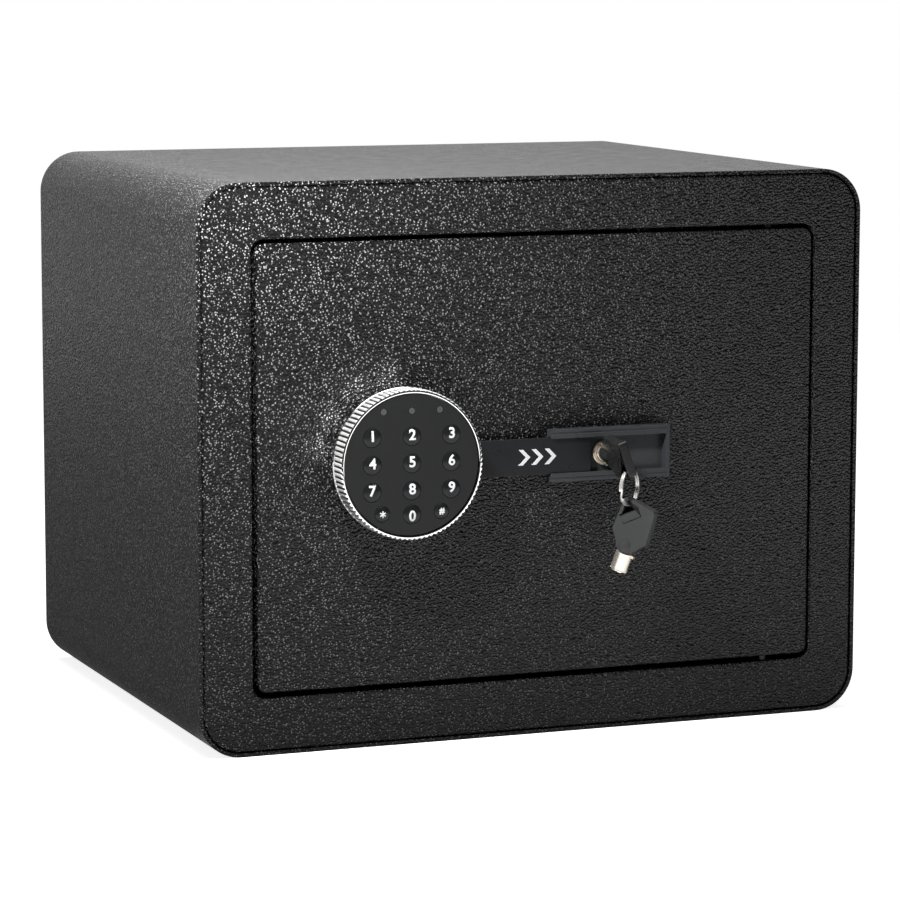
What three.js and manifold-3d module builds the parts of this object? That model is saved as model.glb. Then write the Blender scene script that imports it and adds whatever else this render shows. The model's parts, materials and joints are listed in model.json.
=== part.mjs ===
// Cabinet safe: a hinged door, a keypad in a knurled turning ring, a sliding key cover and an override lock.
// Millimetres. X runs to the right, Y to the back, Z up. The origin is the centre of the underside.
import * as THREE from "three";
import { mergeVertices } from "three/addons/utils/BufferGeometryUtils.js";
import Module from "manifold-3d";

const wasm = await Module();
wasm.setup();

// Shared clearances and counts
const seam = 0.3;
const running = 0.35;
const overrun = 4;
const cornerSteps = 4;
const wrapCornerSteps = 8;
const edgeSteps = 2;
const roundSides = 28;
const smallSides = 16;
const hiddenSides = 10;
const ringSides = 60;

// Case
const caseWidth = 380;
const caseHeight = 300;
const caseDepth = 300;
const caseCornerRadius = 23;
const wrapWall = 2;
const anchorRadius = 5;
const anchorSpacing = 200;
const anchorInset = 90;
const rearWall = 2;
const rearReturnDepth = 10;
const matThickness = 2.5;
const matInset = 6;
const matCornerRadius = 8;

// Front frame: its face on each side of the opening, and its folds
const frameLeft = 30;
const frameRight = 28;
const frameTop = 29.8;
const frameBottom = 30.2;
const frameWall = 2.5;
const frameEdgeRadius = 1.8;
const lipDepth = 11;
const frameReturnDepth = 10;
const openingCornerRadius = 6.5;

// Door
const doorWall = 2.5;
const doorEdgeRadius = 1.4;
const doorReturnDepth = 12;
const doorCornerRadius = 5;
const lockGap = 2;
const hingeGap = 1;
const topGap = 2.2;
const bottomGap = 2.8;

// Concealed hinge
const pivotInset = 25;
const pinRadius = 2.5;
const pinClear = 0.4;
const pinHeadStep = 1.7;
const pinHeadLength = 3;
const pinReach = 9;
const bracketWidth = 26;
const bracketHeight = 12;
const bracketDepth = 14;

// Knurled ring and keypad, in layers out from the door's face
const knobInset = 76.6;
const knobRise = 2.1;
const ringRadius = 39.5;
const ringWall = 2;
const ringBack = 11;
const ringLip = 2;
const ringLipWidth = 5;
const rimHeight = 1.5;
const rimStep = 0.3;
const bandHeight = 2.2;
const knurlCount = 90;
const knurlDepth = 0.8;
const knurlTipShare = 0.3;
const knurlRootShare = 0.2;
const rosetteInset = 11;
const rosetteChamfer = 1.5;
const hubFlange = 2;
const hubShoulder = 6;
const hubStep = 2;
const spigotWall = 1.65;
const stemRadius = 5;
const stemWall = 1.5;
const stemFlange = 1.5;
const stemTail = 1.2;
const boardGap = 1.7;
const boardThickness = 1.6;
const boardPostRadius = 2;
const boardPostInset = 11.1;
const boardPosts = 3;
const faceWall = 1.8;
const faceRim = 1.8;
const faceRecess = 0.6;

// Buttons and lamps: their radii and places as shares of the pad's radius, and their heights
const keyRadiusShare = 0.1307;
const signRadiusShare = 0.1078;
const keyColumnShare = 0.59;
const keyRowShares = [0.402, 0.019, -0.364];
const zeroRowShare = -0.698;
const signColumnShare = 0.441;
const signRowShare = -0.674;
const lampColumnShare = 0.418;
const lampRowShare = 0.76;
const lampRadius = 1.7;
const keyRise = 1;
const keyTravel = 0.8;
const keySkirt = 0.9;
const keySkirtHeight = 0.8;
const keyDomeSteps = 2;

// Bolt work
const boltThrow = 14;
const knobTurn = 70;
const boltRadius = 9;
const boltClear = 1.5;
const boltEdge = 57.5;
const boltLength = 44;
const boltChamfer = 1.5;
const boltReveal = 2.5;
const guideLength = 10;
const guideWall = 5;
const guideGapX = 14;
const plateThickness = 2.5;
const plateGap = 1;
const plateEdge = 2.65;
const plateEndEdge = 5.65;
const tabThickness = 2.5;
const barWidth = 20;
const barLead = 3.3;
const barOverhang = 3;
const crankThickness = 2.7;
const crankRim = 1.6;
const crankPinRadius = 2.2;
const crankPinReach = 1;
const guidePostRadius = 3;
const guidePostLead = 8.3;
const guidePostZ = 16;
const guidePostReach = 1;
const armHeight = 10;
const armGap = 2.4;
const armEnd = 7;

// Stem bridge
const bridgeGap = 4.5;
const bridgeThickness = 2.5;
const bridgeClear = 7.5;
const bridgeSide = 0.5;
const bridgeRight = 23;
const bridgeLegWidth = 16;
const bridgeFoot = 8;
const nutHeight = 5;
const nutWall = 3.5;
const nutSides = 6;

// Keys on their split ring
const bowLength = 28;
const bowTopHalf = 10.1;
const bowShoulderStep = 1.2;
const bowShoulderHeight = 8.7;
const bowNeckHalf = 5.5;
const bowNeckHeight = 1.4;
const bowSweepStep = 2.6;
const bowSweepHeight = 5.1;
const bowCornerRadius = 2.2;
const bowThickness = 4.4;
const ringHoleLeg = 7.2;
const ringHoleEdge = 1.6;
const ringHoleDrop = 2.8;
const padLength = 11.8;
const padWidth = 4.6;
const padAcross = -3.1;
const padDrop = 8.5;
const padTurn = 45;
const padRecess = 0.4;
const keyHubInset = 0.1;
const keyHubLength = 7.4;
const keyHubCollar = 0.2;
const tubeRadius = 4.8;
const tubeWall = 0.9;
const tubeLength = 10.7;
const tubeRim = 0.15;
const tubeRimLength = 0.9;
const tubeRoot = 3;
const tubeNotch = 1;
const tubeNotches = 7;
const tubeLugLength = 1.6;
const tubeLugReach = 1.3;
const keyDepth = 5.6;
const keyTilt = 20;
const loopRadius = 9.4;
const loopWireRadius = 0.65;
const loopWireShare = 1.6;
const loopSteps = 40;
const loopSides = 8;
const loopTurn = 38.4;
const loopHoleSide = 1;
const loopHoleDrop = 4.4;
const loopHoleOffset = 1.6;
const spareTurn = 34;
const spareLean = 21.6;
const spareHoleInset = 1.4;

// Override lock
const lockLead = 9.2;
const lockHeadHeight = 1.4;
const lockHeadOverhang = 0.8;
const lockHeadChamfer = 0.5;
const keywayGap = 0.3;
const keywayEnd = 7;
const barrelWall = 1;
const barrelEnd = 15.5;
const plugPostGap = 0.5;
const plugPostRecess = 0.6;
const plugTail = 0.5;
const lockNutHeight = 4;
const lockNutWall = 3.9;
const lockTurn = 90;
const camThickness = 3;
const camSpindleStep = 1;
const camSpindleReach = 0.8;
const camDwell = 12;
const camHubRadius = 7;
const camSteps = 10;

// Key cover and its rail
const lockRowRise = 1.1;
const coverLength = 68;
const coverStart = 1.9;
const coverHeight = 19.7;
const coverThickness = 2;
const coverGap = 0.2;
const coverCornerRadius = 1;
const railLength = 69;
const railOverlap = 23.4;
const railWall = 3.8;
const railBase = 1.2;
const railLip = 1.3;
const railLipHold = 0.55;
const railLeadLength = 3.6;
const railLeadWidth = 2.4;
const railGroove = 0.4;
const railGrooveWidth = 0.9;
const railStop = 2;

// Solenoid and its blocking plunger
const plungerLift = 4;
const plungerRadius = 2.5;
const plungerTipGap = 0.3;
const plungerChamfer = 0.8;
const plungerRest = 4.3;
const collarSlack = 0.7;
const collarThickness = 3;
const collarWidth = 9;
const collarFront = 3;
const collarOverlap = 0.7;
const collarGap = 14;
const solenoidWidth = 22;
const solenoidDepth = 18;
const solenoidHeight = 26;
const solenoidBore = 14;
const notchRamp = 4;
const notchExtra = 0.6;

// Inner cover, control board, batteries and reset button
const innerLeft = 12;
const innerRight = 41;
const innerMargin = 12;
const innerClear = 1.95;
const innerWall = 1.2;
const innerCornerRadius = 6;
const standoffRadius = 4;
const standoffInset = 12;
const cellRadius = 7.1;
const cellLength = 50;
const cellGap = 1.3;
const cellCount = 4;
const cellSides = 14;
const batteryRight = 9;
const batteryDrop = 4.9;
const batteryWall = 1.5;
const batteryFlange = 3;
const batteryCoverWall = 1.6;
const batteryCoverCorner = 2;
const contactLength = 1.2;
const contactRadius = 2.6;
const controlWidth = 46;
const controlHeight = 54;
const controlRight = 8;
const controlGap = 2;
const controlDrop = 16;
const bossRadius = 3;
const bossInset = 5;
const resetInset = 14;
const resetRise = 16;
const resetRadius = 3;
const resetSkirt = 1.4;
const resetSkirtHeight = 1.5;
const resetStandOut = 1.5;
const resetTravel = 1.5;
const switchSize = 9;
const switchHeight = 3.4;

// Places of the case, its opening and the door, worked out from the sizes above
const turn = Math.PI * 2;
const frontY = -caseDepth / 2;
const rearY = caseDepth / 2;
const ahead = (distance) => frontY - distance;
const behind = (distance) => frontY + distance;
const anchorFloorY = rearY - anchorInset;
const anchorRearZ = caseHeight - anchorInset;
const sheetInset = wrapWall + seam;
const openLeft = frameLeft - caseWidth / 2;
const openRight = caseWidth / 2 - frameRight;
const openBottom = frameBottom;
const openTop = caseHeight - frameTop;
const doorLeft = openLeft + lockGap;
const doorRight = openRight - hingeGap;
const doorBottom = openBottom + bottomGap;
const doorTop = openTop - topGap;
const pinHeadRadius = pinRadius + pinHeadStep;
const pivotX = doorRight - pivotInset;
const pivotY = behind(doorWall + pinRadius + pinClear);
const skinBack = behind(doorWall);
const seatY = behind(doorWall + seam);

// The knob's place and radii, and its layers out from the door's face
const knobX = doorLeft + knobInset;
const middleZ = caseHeight / 2 + lockRowRise;
const knobZ = middleZ + knobRise;
const ringInnerRadius = ringRadius - ringWall;
const rimRadius = ringRadius - rimStep;
const padRadius = ringInnerRadius - seam;
const rosetteRadius = ringRadius - rosetteInset;
const stemBoreRadius = stemRadius - stemWall;
const spigotRadius = stemRadius + running + spigotWall;
const hubTubeRadius = spigotRadius + hubStep;
const boardPostRing = padRadius - boardPostInset;
const hubBack = ringBack + ringLip + seam;
const stemFlangeBack = hubBack + hubFlange + seam;
const stemFlangeFront = stemFlangeBack + stemFlange;
const boardBack = stemFlangeFront + boardGap;
const boardFront = boardBack + boardThickness;
const faceBack = boardFront + seam + keyTravel + keySkirtHeight + seam;
const faceFront = faceBack + faceWall;
const ringFront = faceFront + faceRecess;
const lampRow = padRadius * lampRowShare;

// The key cover, its rail and the lock, from the ring's edge to the right
const coverLeft = knobX + ringRadius + coverStart;
const coverRight = coverLeft + coverLength;
const railLeft = coverRight - railOverlap;
const railRight = railLeft + railLength;
const lockX = coverRight + lockLead;
const tubeBoreRadius = tubeRadius - tubeWall;
const keyHubRadius = tubeRadius - keyHubInset;
const keywayRadius = tubeRadius + keywayGap;
const plugRadius = keywayRadius - seam;
const plugPostRadius = tubeBoreRadius - plugPostGap;
const barrelRadius = keywayRadius + barrelWall;
const lockHeadRadius = barrelRadius + lockHeadOverhang;
const lockNutRadius = barrelRadius + lockNutWall;
const lockHeadBack = railBase + 2 * seam;
const lockHeadFront = lockHeadBack + lockHeadHeight;
const coverClear = lockHeadFront + coverGap;
const camSpindleRadius = plugRadius - camSpindleStep;
const camFrontDepth = barrelEnd + plugTail + seam;

// The bolt work's places
const boltDepth = doorReturnDepth + boltClear + boltRadius;
const boltY = behind(boltDepth);
const boltSpacing = doorTop - doorBottom - 2 * boltEdge;
const boltRows = [knobZ - boltSpacing / 2, knobZ + boltSpacing / 2];
const boltTip = doorLeft + boltReveal;
const boltTail = boltTip + boltLength;
const guideReach = boltRadius + running + guideWall;
const crankRadius = boltThrow / 2 / Math.sin(THREE.MathUtils.degToRad(knobTurn / 2));
const crankAngle = THREE.MathUtils.degToRad(90 - knobTurn / 2);
const plateDepth = hubShoulder + seam + crankThickness + plateGap;
const plateFrontY = behind(plateDepth);
const plateBackY = plateFrontY + plateThickness;
const plateLeft = boltTail - barLead;
const plateHalf = guidePostZ + guidePostRadius + running + plateEdge;
const guidePostX = plateLeft + guidePostLead;
const armTop = middleZ - barrelRadius - armGap;
const armBottom = armTop - armHeight;
const armRight = lockX + boltThrow + plungerRadius + armEnd;
const bridgeDepth = plateDepth + plateThickness + bridgeGap;
const stemNutDepth = bridgeDepth + bridgeThickness + seam;
const stemEnd = stemNutDepth + nutHeight + stemTail;
const nutRadius = stemRadius + nutWall;
const plungerDepth = doorWall + seam + solenoidDepth / 2;
const plungerTip = armBottom - plungerTipGap;
const collarTop = plungerTip - plungerLift - collarSlack;
const solenoidTop = collarTop - collarThickness - collarGap;
const plungerFoot = solenoidTop - solenoidBore + plungerRest;

// The inner cover's edges
const innerDepth = boltDepth + guideReach + innerWall + innerClear;
const innerEdgeLeft = doorLeft + innerLeft;
const innerEdgeRight = doorRight - innerRight;
const innerEdgeBottom = doorBottom + innerMargin;
const innerEdgeTop = doorTop - innerMargin;
const innerBackY = behind(innerDepth);
const innerPlateY = innerBackY - innerWall;
const batteryDepth = innerDepth - batteryDrop - cellRadius;
const cellPitch = 2 * cellRadius + cellGap;

// The key bow's outline and holes
const bowSweepHalf = bowNeckHalf + bowSweepStep;
const bowShoulderHalf = bowTopHalf + bowShoulderStep;
const ringHoleSide = bowTopHalf - ringHoleEdge;
const ringHoleTop = bowLength - ringHoleDrop;
const keyOrigin = tubeLength + keyHubCollar + seam - keyDepth;

// Materials
function finish(color, roughness, metalness) {
  return new THREE.MeshStandardMaterial({ color, roughness, metalness });
}
const paint = finish(0x1c1d1f, 0.45, 0.3);
const darkPlastic = finish(0x232527, 0.4, 0);
const keyPlastic = finish(0x2b2d30, 0.35, 0);
const bowPlastic = finish(0x3c3e40, 0.5, 0);
const chrome = finish(0xd8dadc, 0.15, 1);
const steel = finish(0x9da0a3, 0.35, 1);
const zinc = finish(0xb9b7ae, 0.4, 1);
const nickel = finish(0xc9c2b0, 0.25, 1);
const brass = finish(0xb59a5a, 0.35, 1);
const felt = finish(0x3a3a3c, 0.95, 0);
const lampPlastic = finish(0x55585b, 0.3, 0);
const boardGreen = finish(0x1f5a3a, 0.5, 0);
const redPlastic = finish(0xa02a22, 0.4, 0);
const cellSkin = finish(0x4b5866, 0.4, 0.2);

// A closed geometry as a manifold-3d solid.
function solid(geometry) {
  const bare = geometry.clone();
  bare.deleteAttribute("normal");
  bare.deleteAttribute("uv");
  const merged = mergeVertices(bare);
  const corners = merged.index.array;
  const faces = [];
  for (let i = 0; i < corners.length; i += 3) {
    const [a, b, c] = [corners[i], corners[i + 1], corners[i + 2]];
    if (a !== b && b !== c && c !== a) faces.push(a, b, c);
  }
  const vertProperties = new Float32Array(merged.attributes.position.array);
  const triVerts = new Uint32Array(faces);
  return new wasm.Manifold(new wasm.Mesh({ numProp: 3, vertProperties, triVerts }));
}

function join(first, ...others) {
  return others.reduce((whole, other) => whole.add(other), first);
}

function cut(whole, ...tools) {
  return tools.reduce((rest, tool) => rest.subtract(tool), whole);
}

// A named mesh of a solid, a cut or a joined solid.
function piece(name, body, material) {
  const { numProp, vertProperties, triVerts } = body.getMesh();
  const geometry = new THREE.BufferGeometry();
  geometry.setAttribute("position", new THREE.BufferAttribute(vertProperties, numProp));
  geometry.setIndex(new THREE.BufferAttribute(triVerts, 1));
  geometry.computeVertexNormals();
  const mesh = new THREE.Mesh(geometry, material);
  mesh.name = name;
  return mesh;
}

function group(...members) {
  const holder = new THREE.Group();
  holder.add(...members);
  return holder;
}

function block(left, right, front, back, bottom, top) {
  const box = new THREE.BoxGeometry(right - left, back - front, top - bottom);
  return solid(box.translate((left + right) / 2, (front + back) / 2, (bottom + top) / 2));
}

// A cylinder along Y between two values of Y.
function drum(radius, x, z, front, back, sides = roundSides) {
  const shape = new THREE.CylinderGeometry(radius, radius, back - front, sides);
  return solid(shape.translate(x, (front + back) / 2, z));
}

// A cylinder along Z between two heights.
function post(radius, x, y, bottom, top, sides = smallSides) {
  const shape = new THREE.CylinderGeometry(radius, radius, top - bottom, sides);
  return solid(shape.rotateX(Math.PI / 2).translate(x, y, (bottom + top) / 2));
}

// A profile of [radius, Y] corners turned about a line along Y.
function turned(corners, x, z, sides = roundSides) {
  const profile = corners.map(([radius, y]) => new THREE.Vector2(radius, y));
  const open = profile[0].x === 0;
  if (THREE.ShapeUtils.area(profile) < 0) profile.reverse();
  if (!open) profile.push(profile[0].clone());
  return solid(new THREE.LatheGeometry(profile, sides).translate(x, 0, z));
}

function rounded(left, right, bottom, top, radius, Kind = THREE.Shape) {
  const outline = new Kind();
  outline.moveTo(left + radius, bottom);
  outline.lineTo(right - radius, bottom);
  outline.absarc(right - radius, bottom + radius, radius, -Math.PI / 2, 0);
  outline.lineTo(right, top - radius);
  outline.absarc(right - radius, top - radius, radius, 0, Math.PI / 2);
  outline.lineTo(left + radius, top);
  outline.absarc(left + radius, top - radius, radius, Math.PI / 2, Math.PI);
  outline.lineTo(left, bottom + radius);
  outline.absarc(left + radius, bottom + radius, radius, Math.PI, Math.PI * 1.5);
  return outline;
}

// An upright slab: the outline lies in X and Z, its front face at a value of Y.
function slab(outline, front, thickness, steps = cornerSteps) {
  const options = { depth: thickness, bevelEnabled: false, curveSegments: steps };
  const shape = new THREE.ExtrudeGeometry(outline, options);
  return solid(shape.rotateX(Math.PI / 2).translate(0, front + thickness, 0));
}

// The same with its front edges rounded, the back left square.
function softSlab(outline, front, thickness, edge) {
  const shape = new THREE.ExtrudeGeometry(outline, {
    depth: thickness,
    bevelThickness: edge,
    bevelSize: edge,
    bevelOffset: -edge,
    bevelSegments: edgeSteps,
    curveSegments: cornerSteps,
  });
  const whole = solid(shape.rotateX(Math.PI / 2).translate(0, front + thickness + edge, 0));
  const reach = caseWidth + caseHeight;
  const back = front + thickness;
  return cut(whole, block(-reach, reach, back, back + overrun, -reach, reach));
}

// A wall that follows an outline's edge.
function wallAlong(outline, hole, front, depth) {
  outline.holes.push(hole);
  return slab(outline, front, depth);
}

function caseOutline(inset, Kind) {
  const half = caseWidth / 2 - inset;
  return rounded(-half, half, inset, caseHeight - inset, caseCornerRadius - inset, Kind);
}

function openingOutline(grow, Kind) {
  const radius = openingCornerRadius + grow;
  return rounded(openLeft - grow, openRight + grow, openBottom - grow, openTop + grow, radius, Kind);
}

function doorOutline(inset, Kind) {
  const radius = doorCornerRadius - inset;
  return rounded(doorLeft + inset, doorRight - inset, doorBottom + inset, doorTop - inset, radius, Kind);
}

// Case pieces
function bodyWrap() {
  const outside = slab(caseOutline(0), frontY, caseDepth, wrapCornerSteps);
  const insideDepth = caseDepth + 2 * overrun;
  const inside = slab(caseOutline(wrapWall), frontY - overrun, insideDepth, wrapCornerSteps);
  const holes = [-anchorSpacing / 2, anchorSpacing / 2].map((x) =>
    post(anchorRadius, x, anchorFloorY, -overrun, wrapWall + overrun),
  );
  return cut(outside, inside, ...holes);
}

function rearPanel() {
  const plate = slab(caseOutline(sheetInset), rearY - rearWall, rearWall);
  const fold = caseOutline(sheetInset + rearWall, THREE.Path);
  const returns = wallAlong(caseOutline(sheetInset), fold, rearY - rearReturnDepth, rearReturnDepth);
  const holes = [-anchorSpacing / 2, anchorSpacing / 2].map((x) =>
    drum(anchorRadius, x, anchorRearZ, rearY - overrun, rearY + overrun, smallSides),
  );
  return cut(join(plate, returns), ...holes);
}

function frontFrame() {
  const outline = caseOutline(sheetInset);
  outline.holes.push(openingOutline(0, THREE.Path));
  const plate = softSlab(outline, frontY, frameWall, frameEdgeRadius);
  const folded = behind(frameEdgeRadius);
  const fold = caseOutline(sheetInset + frameWall, THREE.Path);
  const returns = wallAlong(caseOutline(sheetInset), fold, folded, frameReturnDepth - frameEdgeRadius);
  const lip = wallAlong(
    openingOutline(frameWall),
    openingOutline(0, THREE.Path),
    folded,
    lipDepth - frameEdgeRadius,
  );
  const pinHoles = [
    post(pinRadius + seam, pivotX, pivotY, openTop - overrun, openTop + frameWall + overrun),
    post(pinRadius + seam, pivotX, pivotY, openBottom - frameWall - overrun, openBottom + overrun),
  ];
  return cut(join(plate, returns, lip), ...pinHoles);
}

// One block behind the frame that carries a hinge pin, above the opening or below it.
function pivotBracket(side) {
  const seat = side > 0 ? openTop + frameWall + seam : openBottom - frameWall - seam;
  const far = seat + side * bracketHeight;
  const front = behind(frameWall + seam);
  const left = pivotX - bracketWidth / 2;
  const low = Math.min(seat, far);
  const high = Math.max(seat, far);
  const body = block(left, left + bracketWidth, front, front + bracketDepth, low, high);
  return cut(body, post(pinRadius + seam, pivotX, pivotY, low - overrun, high + overrun));
}

function floorMat() {
  const half = caseWidth / 2 - wrapWall - caseCornerRadius;
  const front = behind(lipDepth + matInset);
  const back = rearY - rearReturnDepth - matInset;
  const outline = rounded(-half, half, front, back, matCornerRadius);
  const shape = new THREE.ExtrudeGeometry(outline, {
    depth: matThickness,
    bevelEnabled: false,
    curveSegments: cornerSteps,
  });
  return solid(shape.translate(0, 0, wrapWall + seam));
}

// Door pieces
function doorPanel() {
  const skin = softSlab(doorOutline(0), frontY, doorWall, doorEdgeRadius);
  const fold = doorOutline(doorWall, THREE.Path);
  const folded = behind(doorEdgeRadius);
  const returns = wallAlong(doorOutline(0), fold, folded, doorReturnDepth - doorEdgeRadius);
  const sunk = skinBack - doorWall / 2;
  const standoffEnd = innerPlateY - seam;
  const standoffs = [innerEdgeLeft + standoffInset, innerEdgeRight - standoffInset].flatMap((x) =>
    [innerEdgeBottom + standoffInset, innerEdgeTop - standoffInset].map((z) =>
      drum(standoffRadius, x, z, sunk, standoffEnd, hiddenSides),
    ),
  );
  const postEnd = plateBackY + guidePostReach;
  const guidePosts = [-guidePostZ, guidePostZ].map((z) =>
    drum(guidePostRadius, guidePostX, knobZ + z, sunk, postEnd, smallSides),
  );
  const through = [frontY - overrun, skinBack + overrun];
  return cut(
    join(skin, returns, ...standoffs, ...guidePosts),
    drum(hubTubeRadius + running, knobX, knobZ, ...through),
    drum(barrelRadius + seam, lockX, middleZ, ...through, smallSides),
    post(pinRadius + seam, pivotX, pivotY, doorTop - doorWall - overrun, doorTop + overrun),
    post(pinRadius + seam, pivotX, pivotY, doorBottom - overrun, doorBottom + doorWall + overrun),
  );
}

// A headed hinge pin, from inside the door's fold out into its bracket.
function hingePin(side) {
  const fold = side > 0 ? doorTop - doorWall - seam : doorBottom + doorWall + seam;
  const tip = side > 0 ? openTop + frameWall + pinReach : openBottom - frameWall - pinReach;
  const headEnd = fold - side * pinHeadLength;
  const shank = post(pinRadius, pivotX, pivotY, Math.min(fold, tip), Math.max(fold, tip));
  const headY = Math.max(pivotY, seatY + pinHeadRadius);
  const head = post(pinHeadRadius, pivotX, headY, Math.min(fold, headEnd), Math.max(fold, headEnd));
  return join(shank, head);
}

function innerCover() {
  const rim = (inset, Kind) =>
    rounded(
      innerEdgeLeft + inset,
      innerEdgeRight - inset,
      innerEdgeBottom + inset,
      innerEdgeTop - inset,
      innerCornerRadius - inset,
      Kind,
    );
  const plate = slab(rim(0), innerPlateY, innerWall);
  const walls = wallAlong(rim(0), rim(innerWall, THREE.Path), seatY, innerBackY - seatY);
  const boltHoles = boltRows.map((z) => {
    const hole = new THREE.CylinderGeometry(
      boltRadius + running,
      boltRadius + running,
      innerWall + 2 * overrun,
      roundSides,
    );
    return solid(hole.rotateZ(Math.PI / 2).translate(innerEdgeLeft, boltY, z));
  });
  const board = controlPlace();
  const bosses = [board.left + bossInset, board.right - bossInset].flatMap((x) =>
    [board.bottom + bossInset, board.top - bossInset].map((z) =>
      drum(bossRadius, x, z, board.back + seam, innerBackY - innerWall / 2, hiddenSides),
    ),
  );
  const bay = batteryPlace();
  const window = slab(
    rounded(bay.left, bay.right, bay.bottom, bay.top, batteryCoverCorner),
    innerPlateY - overrun,
    innerWall + 2 * overrun,
  );
  const button = drum(
    resetRadius + running,
    board.resetX,
    board.resetZ,
    innerPlateY - overrun,
    innerBackY + overrun,
    smallSides,
  );
  return cut(join(plate, walls, ...bosses), ...boltHoles, window, button);
}

// Keypad and ring, turned about the knob's line
function atKnob(corners, sides) {
  return turned(
    corners.map(([radius, distance]) => [radius, ahead(distance)]),
    knobX,
    knobZ,
    sides,
  );
}

function knurledRing() {
  const teeth = new THREE.Shape();
  const root = ringRadius - knurlDepth;
  const flankShare = (1 - knurlTipShare - knurlRootShare) / 2;
  for (let i = 0; i < knurlCount; i++) {
    const corners = [
      [root, 0],
      [root, knurlRootShare],
      [ringRadius, knurlRootShare + flankShare],
      [ringRadius, knurlRootShare + flankShare + knurlTipShare],
    ];
    for (const [radius, share] of corners) {
      const angle = ((i + share) / knurlCount) * turn;
      const place = [knobX + radius * Math.cos(angle), knobZ + radius * Math.sin(angle)];
      if (teeth.curves.length || teeth.currentPoint.length()) teeth.lineTo(...place);
      else teeth.moveTo(...place);
    }
  }
  const knurlFront = ringFront - rimHeight;
  const knurlBack = ringBack + bandHeight;
  const disc = slab(teeth, ahead(knurlFront), knurlFront - knurlBack);
  const inside = (root + ringInnerRadius) / 2;
  const boreEnds = [ahead(knurlFront + overrun), ahead(knurlBack - overrun)];
  const bore = drum(inside, knobX, knobZ, ...boreEnds, ringSides);
  const band = cut(disc, bore);
  const rimEdge = (ringRadius - ringInnerRadius) / 3;
  const core = atKnob(
    [
      [ringInnerRadius, ringBack + ringLip],
      [ringInnerRadius, ringFront - rimEdge],
      [ringInnerRadius + rimEdge, ringFront],
      [rimRadius - rimEdge, ringFront],
      [rimRadius, ringFront - rimEdge],
      [rimRadius, knurlFront],
      [rimRadius - knurlDepth, knurlFront - seam],
      [rimRadius - knurlDepth, knurlBack + seam],
      [rimRadius, knurlBack],
      [rimRadius, ringBack + rimEdge],
      [rimRadius - rimEdge, ringBack],
      [ringInnerRadius - ringLipWidth, ringBack],
      [ringInnerRadius - ringLipWidth, ringBack + ringLip],
    ],
    ringSides,
  );
  return join(core, band);
}

function driveHub() {
  const bore = stemRadius + running;
  const spigotEnd = -(hubShoulder + seam + crankThickness);
  return atKnob([
    [bore, hubBack + hubFlange],
    [padRadius, hubBack + hubFlange],
    [padRadius, hubBack],
    [hubTubeRadius, hubBack],
    [hubTubeRadius, -hubShoulder],
    [spigotRadius, -hubShoulder],
    [spigotRadius, spigotEnd],
    [bore, spigotEnd],
  ]);
}

function crank() {
  const front = behind(hubShoulder + seam);
  const back = front + crankThickness;
  const plateRadius = crankRadius + crankPinRadius + crankRim;
  const plate = drum(plateRadius, knobX, knobZ, front, back);
  const pinX = knobX + crankRadius * Math.cos(crankAngle);
  const pinZ = knobZ + crankRadius * Math.sin(crankAngle);
  const pinEnd = plateBackY + crankPinReach;
  const pin = drum(crankPinRadius, pinX, pinZ, back - crankThickness / 2, pinEnd, smallSides);
  return cut(join(plate, pin), drum(spigotRadius + seam, knobX, knobZ, front - overrun, back + overrun));
}

function rosette() {
  const bore = hubTubeRadius + running;
  const front = ringBack - seam;
  return atKnob([
    [bore, seam],
    [rosetteRadius, seam],
    [rosetteRadius, front - rosetteChamfer],
    [rosetteRadius - rosetteChamfer, front],
    [bore, front],
  ]);
}

function keypadStem() {
  const body = atKnob([
    [stemBoreRadius, stemFlangeFront],
    [padRadius - seam, stemFlangeFront],
    [padRadius - seam, stemFlangeBack],
    [stemRadius, stemFlangeBack],
    [stemRadius, -stemEnd],
    [stemBoreRadius, -stemEnd],
  ]);
  const posts = Array.from({ length: boardPosts }, (_, i) => {
    const angle = (i / boardPosts) * turn;
    const x = knobX + boardPostRing * Math.cos(angle);
    const z = knobZ + boardPostRing * Math.sin(angle);
    const foot = ahead(stemFlangeBack + stemFlange / 2);
    return drum(boardPostRadius, x, z, ahead(boardBack - seam), foot, hiddenSides);
  });
  return join(body, ...posts);
}

function circuitBoard() {
  const radius = padRadius - faceRim - seam;
  return drum(radius, knobX, knobZ, ahead(boardFront), ahead(boardBack));
}

// Each button: its node's name, and its place from the knob's centre and its radius as shares of the pad's.
const keyNames = [
  ["key_1", "key_2", "key_3"],
  ["key_4", "key_5", "key_6"],
  ["key_7", "key_8", "key_9"],
];
const keyShares = [
  ...keyNames.flatMap((names, row) =>
    names.map((name, column) => [name, (column - 1) * keyColumnShare, keyRowShares[row], keyRadiusShare]),
  ),
  ["key_star", -signColumnShare, signRowShare, signRadiusShare],
  ["key_0", 0, zeroRowShare, keyRadiusShare],
  ["key_hash", signColumnShare, signRowShare, signRadiusShare],
];
const keyPlaces = keyShares.map(([name, ...shares]) => [name, ...shares.map((share) => share * padRadius)]);
const lampPlaces = [
  ["lamp_left", -lampColumnShare * padRadius],
  ["lamp_middle", 0],
  ["lamp_right", lampColumnShare * padRadius],
];

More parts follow.
